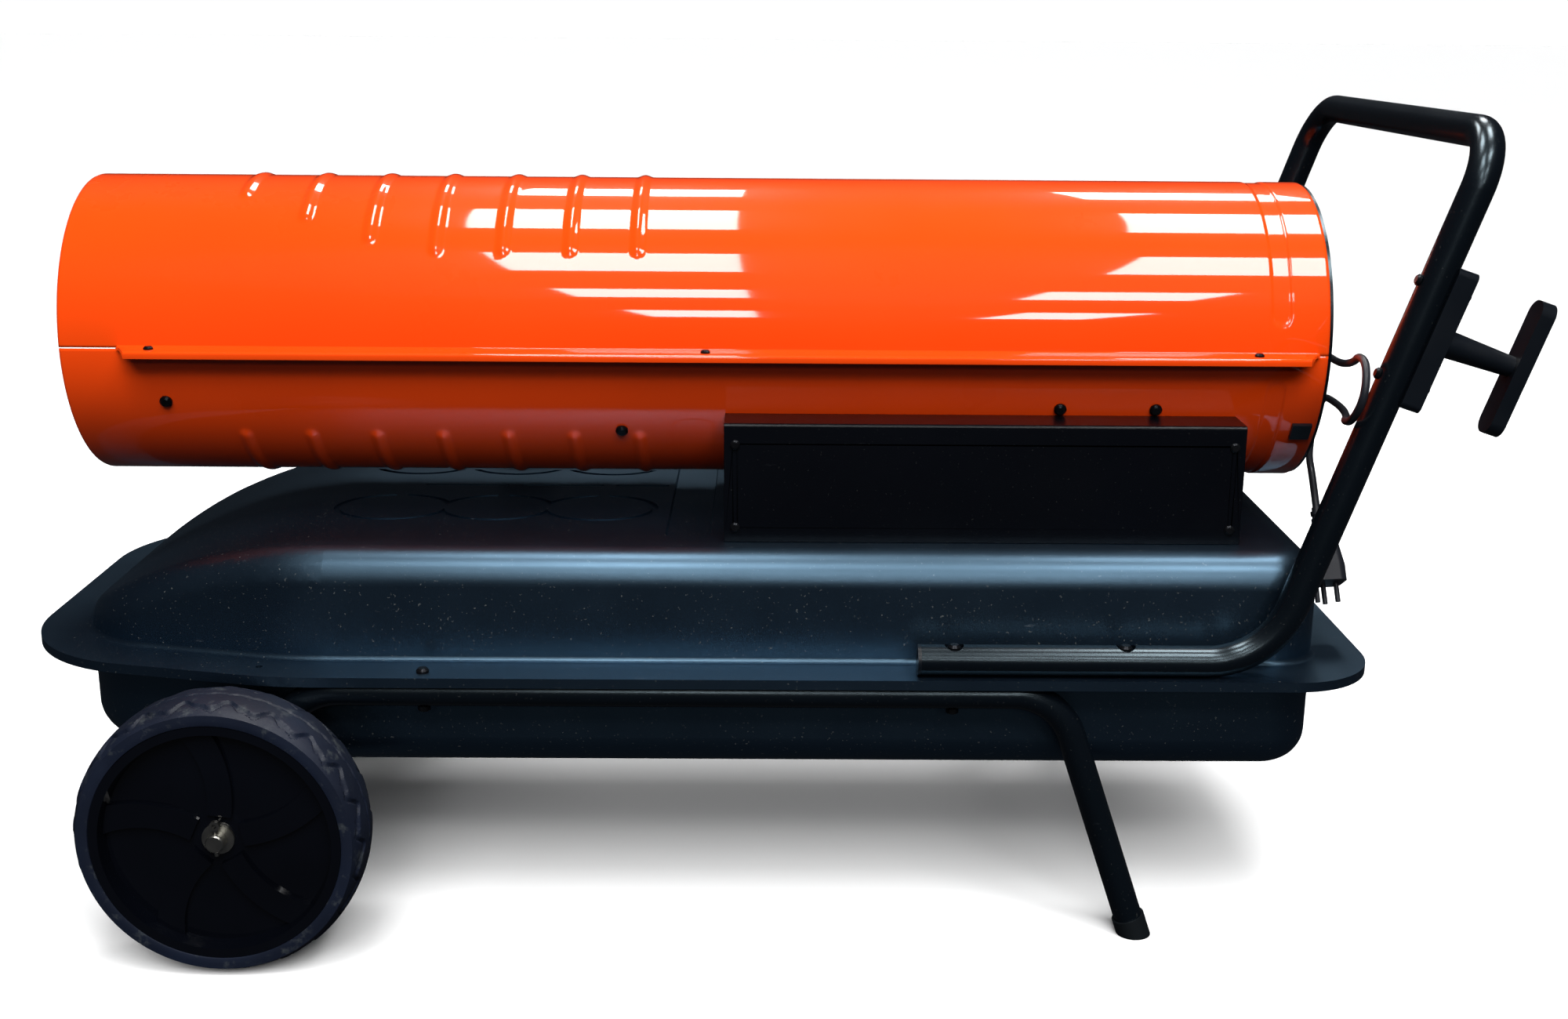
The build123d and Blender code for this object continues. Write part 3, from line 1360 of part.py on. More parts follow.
with BuildPart() as cover_screws:
    for place in cover_screws_at:
        with Locations(outward(*place)):
            add(fastener(cover_screw_head, 2.6, cover_screw_d, 4 * box_sheet))
    for place in floor_screws_at:
        with Locations(place):
            add(fastener(cover_screw_head, 2.6, cover_screw_d, box_sheet + floor_screw_bite))
save(cover_screws.part, "cover_screws")

with BuildPart() as ignition_transformer:
    core_x, core_y, core_z = transformer_size
    transformer_y = transformer_gap + core_y / 2 - box_half
    with Locations((at(transformer_x), transformer_y, roof_z + box_sheet)):
        Box(core_x, core_y, core_z, align=(Align.CENTER, Align.CENTER, Align.MIN))
        Box(core_x + 24, core_y, 2, align=(Align.CENTER, Align.CENTER, Align.MIN))
    fillet(ignition_transformer.edges().group_by(Axis.Z)[-1], 2)
    with Locations(*[
        (at(transformer_x) + d, transformer_y, roof_z + box_sheet + core_z) for d in (-20, 20)
    ]):
        rod(5, 9)
save(ignition_transformer.part, "ignition_transformer")

board_x, board_z = board_size
board_y = box_half - board_standoff
with BuildPart() as control_board:
    with Locations((at(board_at_x), board_y, panel_mid_z)):
        Box(board_x, 1.6, board_z)
    for dx in (-1, 1):
        for dz in (-1, 1):
            place = (
                at(board_at_x) + dx * (board_x / 2 - 5), board_y, panel_mid_z + dz * (board_z / 2 - 5)
            )
            with Locations(Plane(origin=place, z_dir=(0, 1, 0))):
                rod(3, board_standoff)
    for dx, width, height, depth in ((-34, 22, 20, 9), (-4, 18, 26, 11), (32, 24, 15, 6)):
        with Locations((at(board_at_x) + dx, board_y - depth / 2, panel_mid_z - 8)):
            Box(width, depth, height)
save(control_board.part, "control_board")

with BuildPart() as thermostat_body:
    with Locations(knob_plane.offset(-box_sheet)):
        with Locations((0, 0, -12)):
            Box(38, 34, 24)
        rod(stem_r, box_sheet + knob_depth - 3)
save(thermostat_body.part, "thermostat_body")

with BuildPart() as thermostat_knob:
    with Locations(knob_plane.offset(end_play)):
        rod(knob_r, 4)
        rod(knob_r - 3, knob_depth)
        with Locations((0, 0, knob_depth)):
            Box(7, 2 * knob_r - 7, 8)
        rod(stem_r + running_clearance, knob_depth - 2, mode=Mode.SUBTRACT)
save(thermostat_knob.part, "thermostat_knob")

pivot = switch_plane.offset(-rocker_sink)
pivot_bar = Plane(origin=pivot.origin, z_dir=(1, 0, 0))
with BuildPart() as switch_housing:
    with BuildSketch(switch_plane):
        RectangleRounded(switch_width + 5, switch_height + 5, 2)
    extrude(amount=2)
    with BuildSketch(switch_plane):
        Rectangle(switch_width, switch_height)
    extrude(amount=-switch_body)
    with Locations(pivot_bar):
        Cylinder(rocker_r + 2 * end_play, rocker_width + 2 * end_play, mode=Mode.SUBTRACT)
        Cylinder(rocker_pin_r + running_clearance, rocker_width + 3, mode=Mode.SUBTRACT)
save(switch_housing.part, "switch_housing")

with BuildPart() as power_rocker:
    with Locations(pivot_bar):
        Cylinder(rocker_r, rocker_width)
    with BuildSketch(Plane(origin=pivot.origin, x_dir=(0, 1, 0), z_dir=(1, 0, 0)).offset(-rocker_width)):
        with Locations(Location((0, 0, 0), (0, 0, -rocker_swing_deg / 2))):
            Polygon(
                (-3.5, -rocker_r), (5, -rocker_r), (2.5, 0), (5, rocker_r), (-3.5, rocker_r),
                align=None,
            )
    extrude(amount=2 * rocker_width, mode=Mode.INTERSECT)
    with Locations(pivot_bar):
        Cylinder(rocker_pin_r, rocker_width + 2.6)
save(power_rocker.part, "power_rocker")

# ---------------------------------------------------------------- mains lead
gland_plane = Plane(origin=(at(box_rear_x), gland_y, gland_z), z_dir=(1, 0, 0))
with BuildPart() as cable_gland:
    with BuildSketch(gland_plane):
        RegularPolygon(gland_r, 6)
    extrude(amount=6)
    with Locations(gland_plane):
        rod(gland_r - 1.5, 15)
        hang(gland_r - 2, box_sheet)
    with Locations(gland_plane.offset(-box_sheet)):
        hang(gland_r - 0.5, 4)
    with BuildSketch(gland_plane.offset(15)):
        Circle(gland_r - 1.5)
    with BuildSketch(gland_plane.offset(gland_length)):
        Circle(cord_d / 2 + 1.2)
    loft()
save(cable_gland.part, "cable_gland")


def bend_radii(points):
    """Radius of each bend: the bend takes 0.45 of the shorter run beside it."""
    radii = []
    for before, corner, after in zip(points, points[1:], points[2:]):
        run_in = Vector(*corner) - Vector(*before)
        run_out = Vector(*after) - Vector(*corner)
        half_turn = radians(run_in.get_angle(run_out)) / 2
        radii.append(0.45 * min(run_in.length, run_out.length) / tan(half_turn))
    return radii


plug_top = Vector(at(cord_stations[-1][0]), *cord_stations[-1][1:])
plug_dir = (plug_top - Vector(at(cord_stations[-2][0]), *cord_stations[-2][1:])).normalized()
cord_points = [(at(box_rear_x) + gland_length, gland_y, gland_z)]
cord_points += [(at(x), y, z) for x, y, z in cord_stations]
cord_bends = bend_radii(cord_points)
print("cord bends", [round(r, 1) for r in cord_bends])
mains_cord = bent_tube(cord_points, cord_bends, cord_d / 2, 0)
save(mains_cord, "mains_cord")

plug_plane = Plane(origin=plug_top, x_dir=(1, 0, 0), z_dir=plug_dir)
with BuildPart() as mains_plug:
    with BuildSketch(plug_plane):
        Circle(cord_d / 2 + 1)
    with BuildSketch(plug_plane.offset(relief_length)):
        Circle(cord_d / 2 + 3)
    loft()
    for n in range(4):
        with Locations(plug_plane.offset(4 + n * relief_length / 5)):
            rod(cord_d / 2 + 2.6, relief_length / 10)
    with BuildSketch(plug_plane.offset(relief_length)):
        RectangleRounded(2 * plug_r * 0.8, 2 * plug_r * 0.8, 6)
    with BuildSketch(plug_plane.offset(relief_length + plug_length * 0.6)):
        RectangleRounded(2 * plug_r, 2 * plug_r, 8)
    loft()
    with BuildSketch(plug_plane.offset(relief_length + plug_length * 0.6)):
        RectangleRounded(2 * plug_r, 2 * plug_r, 8)
    extrude(amount=plug_length * 0.4)
    with Locations(plug_plane.offset(relief_length + plug_length)):
        with Locations((-plug_pin_y, 0), (plug_pin_y, 0), (0, -0.9 * plug_pin_y)):
            rod(plug_pin_r, plug_pin_length)
save(mains_plug.part, "mains_plug")
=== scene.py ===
import json
from math import asin, cos, degrees, hypot, pi, radians, sin

import bmesh
import bpy
from mathutils import Matrix, Vector


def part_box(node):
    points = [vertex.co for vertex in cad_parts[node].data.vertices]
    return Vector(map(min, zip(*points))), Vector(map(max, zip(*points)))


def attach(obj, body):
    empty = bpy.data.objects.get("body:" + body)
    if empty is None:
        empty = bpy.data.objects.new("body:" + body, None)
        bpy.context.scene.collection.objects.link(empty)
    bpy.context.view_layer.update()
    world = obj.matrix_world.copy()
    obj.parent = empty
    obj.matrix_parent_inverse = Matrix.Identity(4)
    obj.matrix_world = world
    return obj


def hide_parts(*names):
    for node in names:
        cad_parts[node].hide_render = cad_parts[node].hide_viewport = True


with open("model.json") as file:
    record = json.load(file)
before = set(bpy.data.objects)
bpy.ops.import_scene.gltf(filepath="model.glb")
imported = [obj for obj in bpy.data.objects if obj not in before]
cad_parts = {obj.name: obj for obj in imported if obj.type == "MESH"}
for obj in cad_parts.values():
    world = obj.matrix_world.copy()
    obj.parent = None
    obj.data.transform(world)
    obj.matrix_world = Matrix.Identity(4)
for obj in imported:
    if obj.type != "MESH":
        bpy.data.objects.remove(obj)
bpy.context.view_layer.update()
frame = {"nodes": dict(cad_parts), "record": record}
nodes = frame["nodes"]
record = frame["record"]

MM = 0.001                  # a millimetre in metres


def extent(node, axis):
    """Lowest and highest value of a CAD node along an axis, in millimetres."""
    low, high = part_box(node)
    return round(low[axis] / MM, 5), round(high[axis] / MM, 5)


def middle(node, axis):
    """Middle of a CAD node along an axis, in millimetres."""
    return round(sum(extent(node, axis)) / 2, 4)


# Sizes in millimetres. A name that ends in _X is a station measured from the wheel axle.
AXLE_X = middle("axle", 0)  # of the axle itself, in the frame of the CAD
AXLE_Z = middle("axle", 2)
WHEEL_Y = middle("tyre_far", 1)
BARREL_Z = middle("rotor_shaft", 2)
BARREL_R = 142.0
WALL = 1.5
SEAM_Z = round(extent("lower_shell", 2)[1], 4)
OUTLET_X, INTAKE_X = (round(end - AXLE_X, 4) for end in extent("upper_shell", 0))


def at(station):
    """X in the frame of the CAD of a station measured from the axle."""
    return AXLE_X + station


def add_object(name, data):
    obj = bpy.data.objects.new(name, data)
    bpy.context.scene.collection.objects.link(obj)
    return obj


# ---------------------------------------------------------------- materials
def new_material(name):
    """A material with its node tree and its shader."""
    material = bpy.data.materials.new(name)
    material.use_nodes = True
    tree = material.node_tree
    shader = tree.nodes["Principled BSDF"]
    return material, tree, shader


def noise(tree, scale, detail, rough=0.55, stretch=(1, 1, 1)):
    """Noise over the piece's own coordinates, as a value from 0 to 1."""
    coords = tree.nodes.new("ShaderNodeTexCoord")
    mapping = tree.nodes.new("ShaderNodeMapping")
    mapping.inputs["Scale"].default_value = stretch
    texture = tree.nodes.new("ShaderNodeTexNoise")
    texture.inputs["Scale"].default_value = scale
    texture.inputs["Detail"].default_value = detail
    texture.inputs["Roughness"].default_value = rough
    tree.links.new(coords.outputs["Object"], mapping.inputs["Vector"])
    tree.links.new(mapping.outputs["Vector"], texture.inputs["Vector"])
    return texture.outputs["Fac"]


def ramp(tree, value, low, high, first, second):
    """Colour that goes from first to second while the value goes from low to high."""
    node = tree.nodes.new("ShaderNodeValToRGB")
    node.color_ramp.elements[0].position = low
    node.color_ramp.elements[1].position = high
    node.color_ramp.elements[0].color = (*first, 1)
    node.color_ramp.elements[1].color = (*second, 1)
    tree.links.new(value, node.inputs["Fac"])
    return node.outputs["Color"]


def mix(tree, factor, first, second):
    """Colour between first and second, each a colour or an output that gives one."""
    node = tree.nodes.new("ShaderNodeMix")
    node.data_type = "RGBA"
    tree.links.new(factor, node.inputs[0])
    for socket, value in ((node.inputs[6], first), (node.inputs[7], second)):
        if isinstance(value, tuple):
            socket.default_value = (*value, 1)
        else:
            tree.links.new(value, socket)
    return node.outputs[2]


def spread(tree, value, low, high, out_low, out_high):
    """Value that goes from out_low to out_high while the given one goes from low to high."""
    node = tree.nodes.new("ShaderNodeMapRange")
    node.inputs["From Min"].default_value = low
    node.inputs["From Max"].default_value = high
    node.inputs["To Min"].default_value = out_low
    node.inputs["To Max"].default_value = out_high
    tree.links.new(value, node.inputs["Value"])
    return node.outputs["Result"]


def bump(tree, shader, value, distance, under=None):
    """Small relief of a height in metres, over another relief where one is given."""
    node = tree.nodes.new("ShaderNodeBump")
    node.inputs["Distance"].default_value = distance
    node.inputs["Strength"].default_value = 1.0
    tree.links.new(value, node.inputs["Height"])
    if under is not None:
        tree.links.new(under, node.inputs["Normal"])
    tree.links.new(node.outputs["Normal"], shader.inputs["Normal"])
    return node.outputs["Normal"]


def finish_material(
    name, color, roughness, metallic=0.0, coat=0.0, coat_rough=0.05, coat_ior=1.5, vary=0.12,
    vary_scale=7.0, grain_scale=900.0, grain=0.00002, rough_spread=0.06, specular=0.5, dust=0.0,
    dust_color=(0.30, 0.31, 0.30), dust_scale=26.0,
):
    """Painted, moulded or metal surface with mottling, fine grain and a little dust."""
    material, tree, shader = new_material(name)
    shader.inputs["Metallic"].default_value = metallic
    shader.inputs["Coat Weight"].default_value = coat
    shader.inputs["Coat Roughness"].default_value = coat_rough
    shader.inputs["Coat IOR"].default_value = coat_ior
    shader.inputs["Specular IOR Level"].default_value = specular
    broad = noise(tree, vary_scale, 3.0)
    darker = tuple(c * (1 - vary) for c in color)
    lighter = tuple(min(1.0, c * (1 + vary)) for c in color)
    paint = ramp(tree, broad, 0.35, 0.65, darker, lighter)
    if dust:
        patches = noise(tree, dust_scale, 8.0, rough=0.7)
        mask = spread(tree, patches, 0.56, 0.80, 0.0, dust)
        paint = mix(tree, mask, paint, dust_color)
    tree.links.new(paint, shader.inputs["Base Color"])
    smudge = noise(tree, vary_scale * 2.7, 5.0, rough=0.6)
    sheen = spread(tree, smudge, 0.3, 0.7, roughness - rough_spread, roughness + rough_spread)
    tree.links.new(sheen, shader.inputs["Roughness"])
    bump(tree, shader, noise(tree, grain_scale, 2.0), grain)
    return material


SCUFF_COLOR = (0.22, 0.25, 0.28)
SPECK_COLOR = (0.30, 0.31, 0.29)
ENAMEL_GRAIN = 0.00004      # metres


def scuffed_paint(name, color, roughness, scratch, wave, specular, tint=(1, 1, 1), ior=1.5):
    """Satin black enamel: mottled sheen, a fine orange peel, thin scuffs and specks of dust."""
    material, tree, shader = new_material(name)
    shader.inputs["Specular IOR Level"].default_value = specular
    shader.inputs["Specular Tint"].default_value = (*tint, 1)
    shader.inputs["IOR"].default_value = ior
    broad = noise(tree, 5.0, 3.0)
    darker = tuple(c * 0.85 for c in color)
    lighter = tuple(c * 1.2 for c in color)
    base = ramp(tree, broad, 0.3, 0.7, darker, lighter)
    lines = noise(tree, 60.0, 9.0, rough=0.75, stretch=(0.35, 1.0, 1.6))
    marks = spread(tree, lines, 0.66, 0.74, 0.0, scratch)
    dots = noise(tree, 420.0, 2.0, rough=0.4)
    specks = spread(tree, dots, 0.70, 0.76, 0.0, scratch * 0.8)
    base = mix(tree, marks, base, SCUFF_COLOR)
    base = mix(tree, specks, base, SPECK_COLOR)
    tree.links.new(base, shader.inputs["Base Color"])
    smudge = noise(tree, 14.0, 6.0, rough=0.6)
    sheen = spread(tree, smudge, 0.3, 0.7, roughness - 0.02, roughness + 0.03)
    tree.links.new(sheen, shader.inputs["Roughness"])
    soft = bump(tree, shader, noise(tree, 9.0, 2.0), wave)
    bump(tree, shader, noise(tree, 700.0, 2.0), ENAMEL_GRAIN, under=soft)
    return material


materials = {
    "barrel_paint": finish_material(
        "barrel_paint", (0.80, 0.058, 0.003), 0.30, coat=1.0, coat_rough=0.035, coat_ior=1.65,
        vary=0.05, vary_scale=3.0, grain_scale=420.0, grain=0.000012, rough_spread=0.04,
        specular=0.04,
    ),
    # Inside of the barrel: a darker, duller copy of the barrel paint, painted shade for the hollow of
    # the barrel.
    "barrel_inside_painted_shade": finish_material("barrel_inside_painted_shade", (0.11, 0.012, 0.003), 0.7, vary=0.2),
    "tank_paint": scuffed_paint(
        "tank_paint", (0.001, 0.002, 0.0045), roughness=0.36, scratch=0.30, wave=0.0001,
        specular=0.8, tint=(0.42, 0.72, 1.0), ior=2.2,
    ),
    "frame_paint": scuffed_paint(
        "frame_paint", (0.0015, 0.0025, 0.004), roughness=0.24, scratch=0.08, wave=0.0,
        specular=0.85, tint=(0.7, 0.9, 1.0),
    ),
    "box_paint": scuffed_paint(
        "box_paint", (0.001, 0.0014, 0.0026), roughness=0.30, scratch=0.04, wave=0.0,
        specular=0.35,
    ),
    "tyre": finish_material(
        "tyre", (0.005, 0.008, 0.018), 0.55, vary=0.22, vary_scale=11.0, grain_scale=700.0,
        grain=0.00005, dust=0.30, dust_color=(0.17, 0.19, 0.18), dust_scale=60.0,
    ),
    "wheel_plastic": finish_material(
        "wheel_plastic", (0.0012, 0.0016, 0.003), 0.10, coat=0.6, coat_rough=0.03, vary=0.2,
        grain_scale=160.0, grain=0.00001, rough_spread=0.03,
    ),
    "black_plastic": finish_material(
        "black_plastic", (0.003, 0.0045, 0.007), 0.34, vary=0.15, grain_scale=1500.0, grain=0.00003,
    ),
    "zinc": finish_material("zinc", (0.55, 0.54, 0.49), 0.34, metallic=1.0, vary_scale=40.0),
    "dark_fixing": finish_material(
        "dark_fixing", (0.014, 0.015, 0.018), 0.30, metallic=0.8, vary=0.2, vary_scale=90.0,
    ),
    "heat_steel": finish_material(
        "heat_steel", (0.36, 0.34, 0.31), 0.40, metallic=1.0, vary=0.18, vary_scale=18.0, dust=0.25,
        dust_color=(0.16, 0.13, 0.11),
    ),
    "cast_metal": finish_material(
        "cast_metal", (0.42, 0.42, 0.42), 0.48, metallic=0.9, vary=0.1, vary_scale=30.0,
        grain_scale=1200.0, grain=0.00012,
    ),
    "brass": finish_material("brass", (0.62, 0.42, 0.15), 0.28, metallic=1.0),
    "ceramic": finish_material("ceramic", (0.78, 0.75, 0.68), 0.18, coat=0.5, vary=0.05),
    "rubber": finish_material("rubber", (0.004, 0.0055, 0.007), 0.55, vary=0.15, grain=0.00004),
    "board": finish_material("board", (0.02, 0.16, 0.06), 0.35, vary=0.2, vary_scale=90.0),
    "dial": finish_material("dial", (0.70, 0.70, 0.66), 0.30, vary=0.05),
    "cord": finish_material("cord", (0.010, 0.011, 0.015), 0.40, vary=0.15, grain_scale=1100.0),
}


# ---------------------------------------------------------------- CAD nodes
WELD_GAP = 0.000002         # metres
SMOOTH_DEG = 32.0           # faces that meet at less shade as one
SOFT_EDGE_DEG = 60.0        # edges that turn by more are softened
SOFT_EDGES = {"side_cover": 0.9, "control_panel": 0.5}      # millimetres


def dress(obj, slot_name, soft_edge):
    """Gives a CAD node its material and soft shading, and soft edges where it is sheet metal."""
    for place in obj.material_slots:
        place.material = materials[slot_name]
    if not obj.material_slots:
        obj.data.materials.append(materials[slot_name])
    weld = obj.modifiers.new("weld", "WELD")
    weld.merge_threshold = WELD_GAP
    obj.data.polygons.foreach_set("use_smooth", [True] * len(obj.data.polygons))
    if soft_edge:
        bevel = obj.modifiers.new("soft_edge", "BEVEL")
        bevel.width = soft_edge * MM
        bevel.segments = 3
        bevel.limit_method = "ANGLE"
        bevel.angle_limit = radians(SOFT_EDGE_DEG)
    split = obj.modifiers.new("edges", "EDGE_SPLIT")
    split.split_angle = radians(SMOOTH_DEG)
    normals = obj.modifiers.new("normals", "WEIGHTED_NORMAL")
    normals.keep_sharp = True


for entry in record["subparts"]:
    dress(nodes[entry["node"]], entry["material_slot"], SOFT_EDGES.get(entry["node"], 0.0))


# ---------------------------------------------------------------- mesh helpers
def mesh_object(name, verts, faces, slot_name, body="heater"):
    """Smooth mesh from points in millimetres, in a named material, riding on a body."""
    mesh = bpy.data.meshes.new(name)
    mesh.from_pydata([(x * MM, y * MM, z * MM) for x, y, z in verts], [], faces)
    mesh.validate()
    mesh.polygons.foreach_set("use_smooth", [True] * len(mesh.polygons))
    mesh.materials.append(materials[slot_name])
    obj = add_object(name, mesh)
    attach(obj, body)
    return obj


def grid_faces(rows, columns, wrap=False):
    """Quads over rows of points, closed from the last row to the first where wrap is set."""
    faces = []
    for i in range(rows if wrap else rows - 1):
        for j in range(columns - 1):
            a = i * columns + j
            b = ((i + 1) % rows) * columns + j
            faces.append((a, b, b + 1, a + 1))
    return faces


def steps(low, high, step):
    """Even stops from low to high, about a step apart."""
    count = max(1, round((high - low) / step))
    return [low + (high - low) * n / count for n in range(count + 1)]


def smooth_step(t):
    """Eases from 0 to 1 while t goes from 0 to 1."""
    t = min(1.0, max(0.0, t))
    return t * t * (3 - 2 * t)


# ---------------------------------------------------------------- barrel
RIB_LAST_X = 353.0
RIB_PITCH = 61.0
RIB_ENDS_DEG = (66, 52.5, 42.5, 37.5, 37.5, 37.5, 37.5)     # from the outlet to the intake
RIBS = [
    (RIB_LAST_X - RIB_PITCH * (len(RIB_ENDS_DEG) - 1 - n), end)
    for n, end in enumerate(RIB_ENDS_DEG)
]
LOW_RIB_DEG = 38.0          # where every rib of the lower shell ends
RIB_HALF = 8.0
RIB_RISE = 2.2
RIB_FULLNESS = 0.8          # below 1 the section of a rib is fuller than a wave
GROOVE_X = 937.0
GROOVE_HALF = 8.5
GROOVE_FLANK = 2.0
GROOVE_DEPTH = 1.0
GROOVE_END_DEG = 14.0
EDGE_TURN_IN = 0.7          # of the sheet at the barrel's two ends
EDGE_LENGTH = 2.0
SEAM_DEG = degrees(asin((SEAM_Z - BARREL_Z) / BARREL_R))
SLIT_HALF = 0.6             # of the open seam ahead of the flanges

# Spacing of the mesh: the plain sheet, then spans beside each rib, the groove and both ends.
SKIN_STEP = 9.0
SKIN_STEP_DEG = 1.25
LEAST_STEP = 0.35
RIB_SPAN = 10.0
RIB_STEP = 1.25
GROOVE_SPAN = 11.0
GROOVE_STEP = 1.1
EDGE_SPAN = 3.0
EDGE_STEP = 0.75

SEAM_FRONT_X = -115.0
SEAM_REAR_X = 972.0
SEAM_TAPER = 14.0
SEAM_TAPER_STEP = 2.0
SEAM_STEP = 60.0
SEAM_REACH = 28.0
SEAM_LIP = 6.5
SEAM_SHEET = 1.9
SEAM_BEND = 2.4             # radius of the bend into the lip
SEAM_BEND_STEPS = 5
SEAM_BEND_SHARE = 0.4       # of the reach, where the flange tapers off
SEAM_LEAST_BEND = 0.2
SEAM_TOP_RISE = 2.0         # of the upper flange's outer face over the seam
SEAM_LOW_DROP = 0.05
SEAM_TOP_ROOT = ((-1.2, 3.2), (-0.6, 1.6), (0.4, 0.5), (1.6, 0.0))     # out and up
SEAM_LOW_ROOT = ((-1.0, -0.3), (1.0, 0.0))
SEAM_LEAST_FLAT = 0.1
SEAM_SOFT_EDGE = 0.4


def skin_offset(station, angle, up):
    """Height of the pressing above the plain barrel, for an angle folded to 0..90."""
    rise = 0.0
    for rib_x, rib_end in RIBS:
        rib_deg = rib_end if up else LOW_RIB_DEG
        past_end = max(0.0, radians(rib_deg - angle)) * BARREL_R
        reach = hypot(station - rib_x, past_end) / RIB_HALF
        if reach < 1:
            rise = max(rise, RIB_RISE * (0.5 + 0.5 * cos(pi * reach)) ** RIB_FULLNESS)
    past_end = max(0.0, radians(GROOVE_END_DEG - angle)) * BARREL_R
    reach = hypot(station - GROOVE_X, past_end)
    flank = (GROOVE_HALF + GROOVE_FLANK / 2 - reach) / GROOVE_FLANK
    from_edge = min(station - OUTLET_X, INTAKE_X - station)
    turned_in = EDGE_TURN_IN * (1 - smooth_step(from_edge / EDGE_LENGTH))
    return rise - GROOVE_DEPTH * smooth_step(flank) - turned_in


def shell_stations():
    """Stations along the barrel where its mesh has a ring, closer where the sheet bends."""
    wanted = {SEAM_FRONT_X, *steps(OUTLET_X, INTAKE_X, SKIN_STEP)}
    for rib_x, _ in RIBS:
        wanted |= set(steps(rib_x - RIB_SPAN, rib_x + RIB_SPAN, RIB_STEP))
    wanted |= set(steps(GROOVE_X - GROOVE_SPAN, GROOVE_X + GROOVE_SPAN, GROOVE_STEP))
    wanted |= set(steps(OUTLET_X, OUTLET_X + EDGE_SPAN, EDGE_STEP))
    wanted |= set(steps(INTAKE_X - EDGE_SPAN, INTAKE_X, EDGE_STEP))
    kept = []
    for x in sorted(wanted):
        if not kept or x - kept[-1] > LEAST_STEP or x == INTAKE_X:
            kept.append(x)
    return kept


def add_shell(name, up, node):
    """One half of the barrel in sheet, painted outside; inside, a darker copy of the paint is painted
    shade.
    """
    stations = shell_stations()
    first, last = (SEAM_DEG, 180 - SEAM_DEG) if up else (-180 - SEAM_DEG, SEAM_DEG)
    angles = steps(first, last, SKIN_STEP_DEG)
    slit_deg = degrees(SLIT_HALF / BARREL_R)
    slit_angles = [first + slit_deg, *angles[1:-1], last - slit_deg]
    verts = []
    for x in stations:
        for angle in slit_angles if x <= SEAM_FRONT_X else angles:
            folded = abs(angle) if abs(angle) <= 90 else 180 - abs(angle)
            r = BARREL_R + skin_offset(x, folded, up)
            y, z = -r * cos(radians(angle)), r * sin(radians(angle))
            verts.append((at(x), y, BARREL_Z + z))
    obj = mesh_object(name, verts, grid_faces(len(stations), len(angles)), "barrel_paint")
    # The inner faces take the darker copy of the paint, painted shade inside the barrel.
    obj.data.materials.append(materials["barrel_inside_painted_shade"])
    solid = obj.modifiers.new("sheet", "SOLIDIFY")
    solid.thickness = WALL * MM
    solid.offset = -1
    solid.material_offset = 1
    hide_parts(node)


def seam_profile(up, share):
    """Points of a flange's outer face, out and up from the seam, for a share of its full reach."""
    out = SEAM_REACH * share
    if not up:
        return [*SEAM_LOW_ROOT, (max(SEAM_LOW_ROOT[-1][0] + 2 * SEAM_LEAST_FLAT, out - SEAM_BEND), 0.0)]
    root_end = SEAM_TOP_ROOT[-1][0]
    bend = min(SEAM_BEND, max(SEAM_LEAST_BEND, out * SEAM_BEND_SHARE))
    profile = [*SEAM_TOP_ROOT, (max(root_end + SEAM_LEAST_FLAT, out - bend), 0.0)]
    for k in range(1, SEAM_BEND_STEPS + 1):
        turn = pi / 2 * k / SEAM_BEND_STEPS
        y = max(root_end + 1.5 * SEAM_LEAST_FLAT, out - bend + bend * sin(turn))
        profile.append((y, -bend * (1 - cos(turn))))
    profile.append((max(root_end + 2 * SEAM_LEAST_FLAT, out), -max(bend, SEAM_LIP * share)))
    return profile


def add_seam_flange(name, up, side):
    """Bent strip along the seam: root radius, flat, and on the upper half a lip turned down."""
    front, rear = SEAM_FRONT_X + SEAM_TAPER, SEAM_REAR_X - SEAM_TAPER
    stations = set(steps(SEAM_FRONT_X, front, SEAM_TAPER_STEP)) | set(steps(front, rear, SEAM_STEP))
    stations = sorted(stations | set(steps(rear, SEAM_REAR_X, SEAM_TAPER_STEP)))
    level = SEAM_Z + SEAM_TOP_RISE if up else SEAM_Z - SEAM_LOW_DROP
    verts = []
    for x in stations:
        share = min(1.0, (x - SEAM_FRONT_X) / SEAM_TAPER, (SEAM_REAR_X - x) / SEAM_TAPER)
        profile = seam_profile(up, share)
        verts += [(at(x), side * (BARREL_R + y), level + z) for y, z in profile]
    obj = mesh_object(name, verts, grid_faces(len(stations), len(profile)), "barrel_paint")
    if side < 0:
        obj.data.flip_normals()
    solid = obj.modifiers.new("sheet", "SOLIDIFY")
    solid.thickness = SEAM_SHEET * MM
    solid.offset = -1
    bevel = obj.modifiers.new("soft_edges", "BEVEL")
    bevel.width = SEAM_SOFT_EDGE * MM
    bevel.segments = 2
    bevel.limit_method = "ANGLE"


add_shell("barrel_top", True, "upper_shell")
add_shell("barrel_bottom", False, "lower_shell")
for side, word in ((-1, "near"), (1, "far")):
    add_seam_flange(f"seam_flange_top_{word}", True, side)
    add_seam_flange(f"seam_flange_low_{word}", False, side)


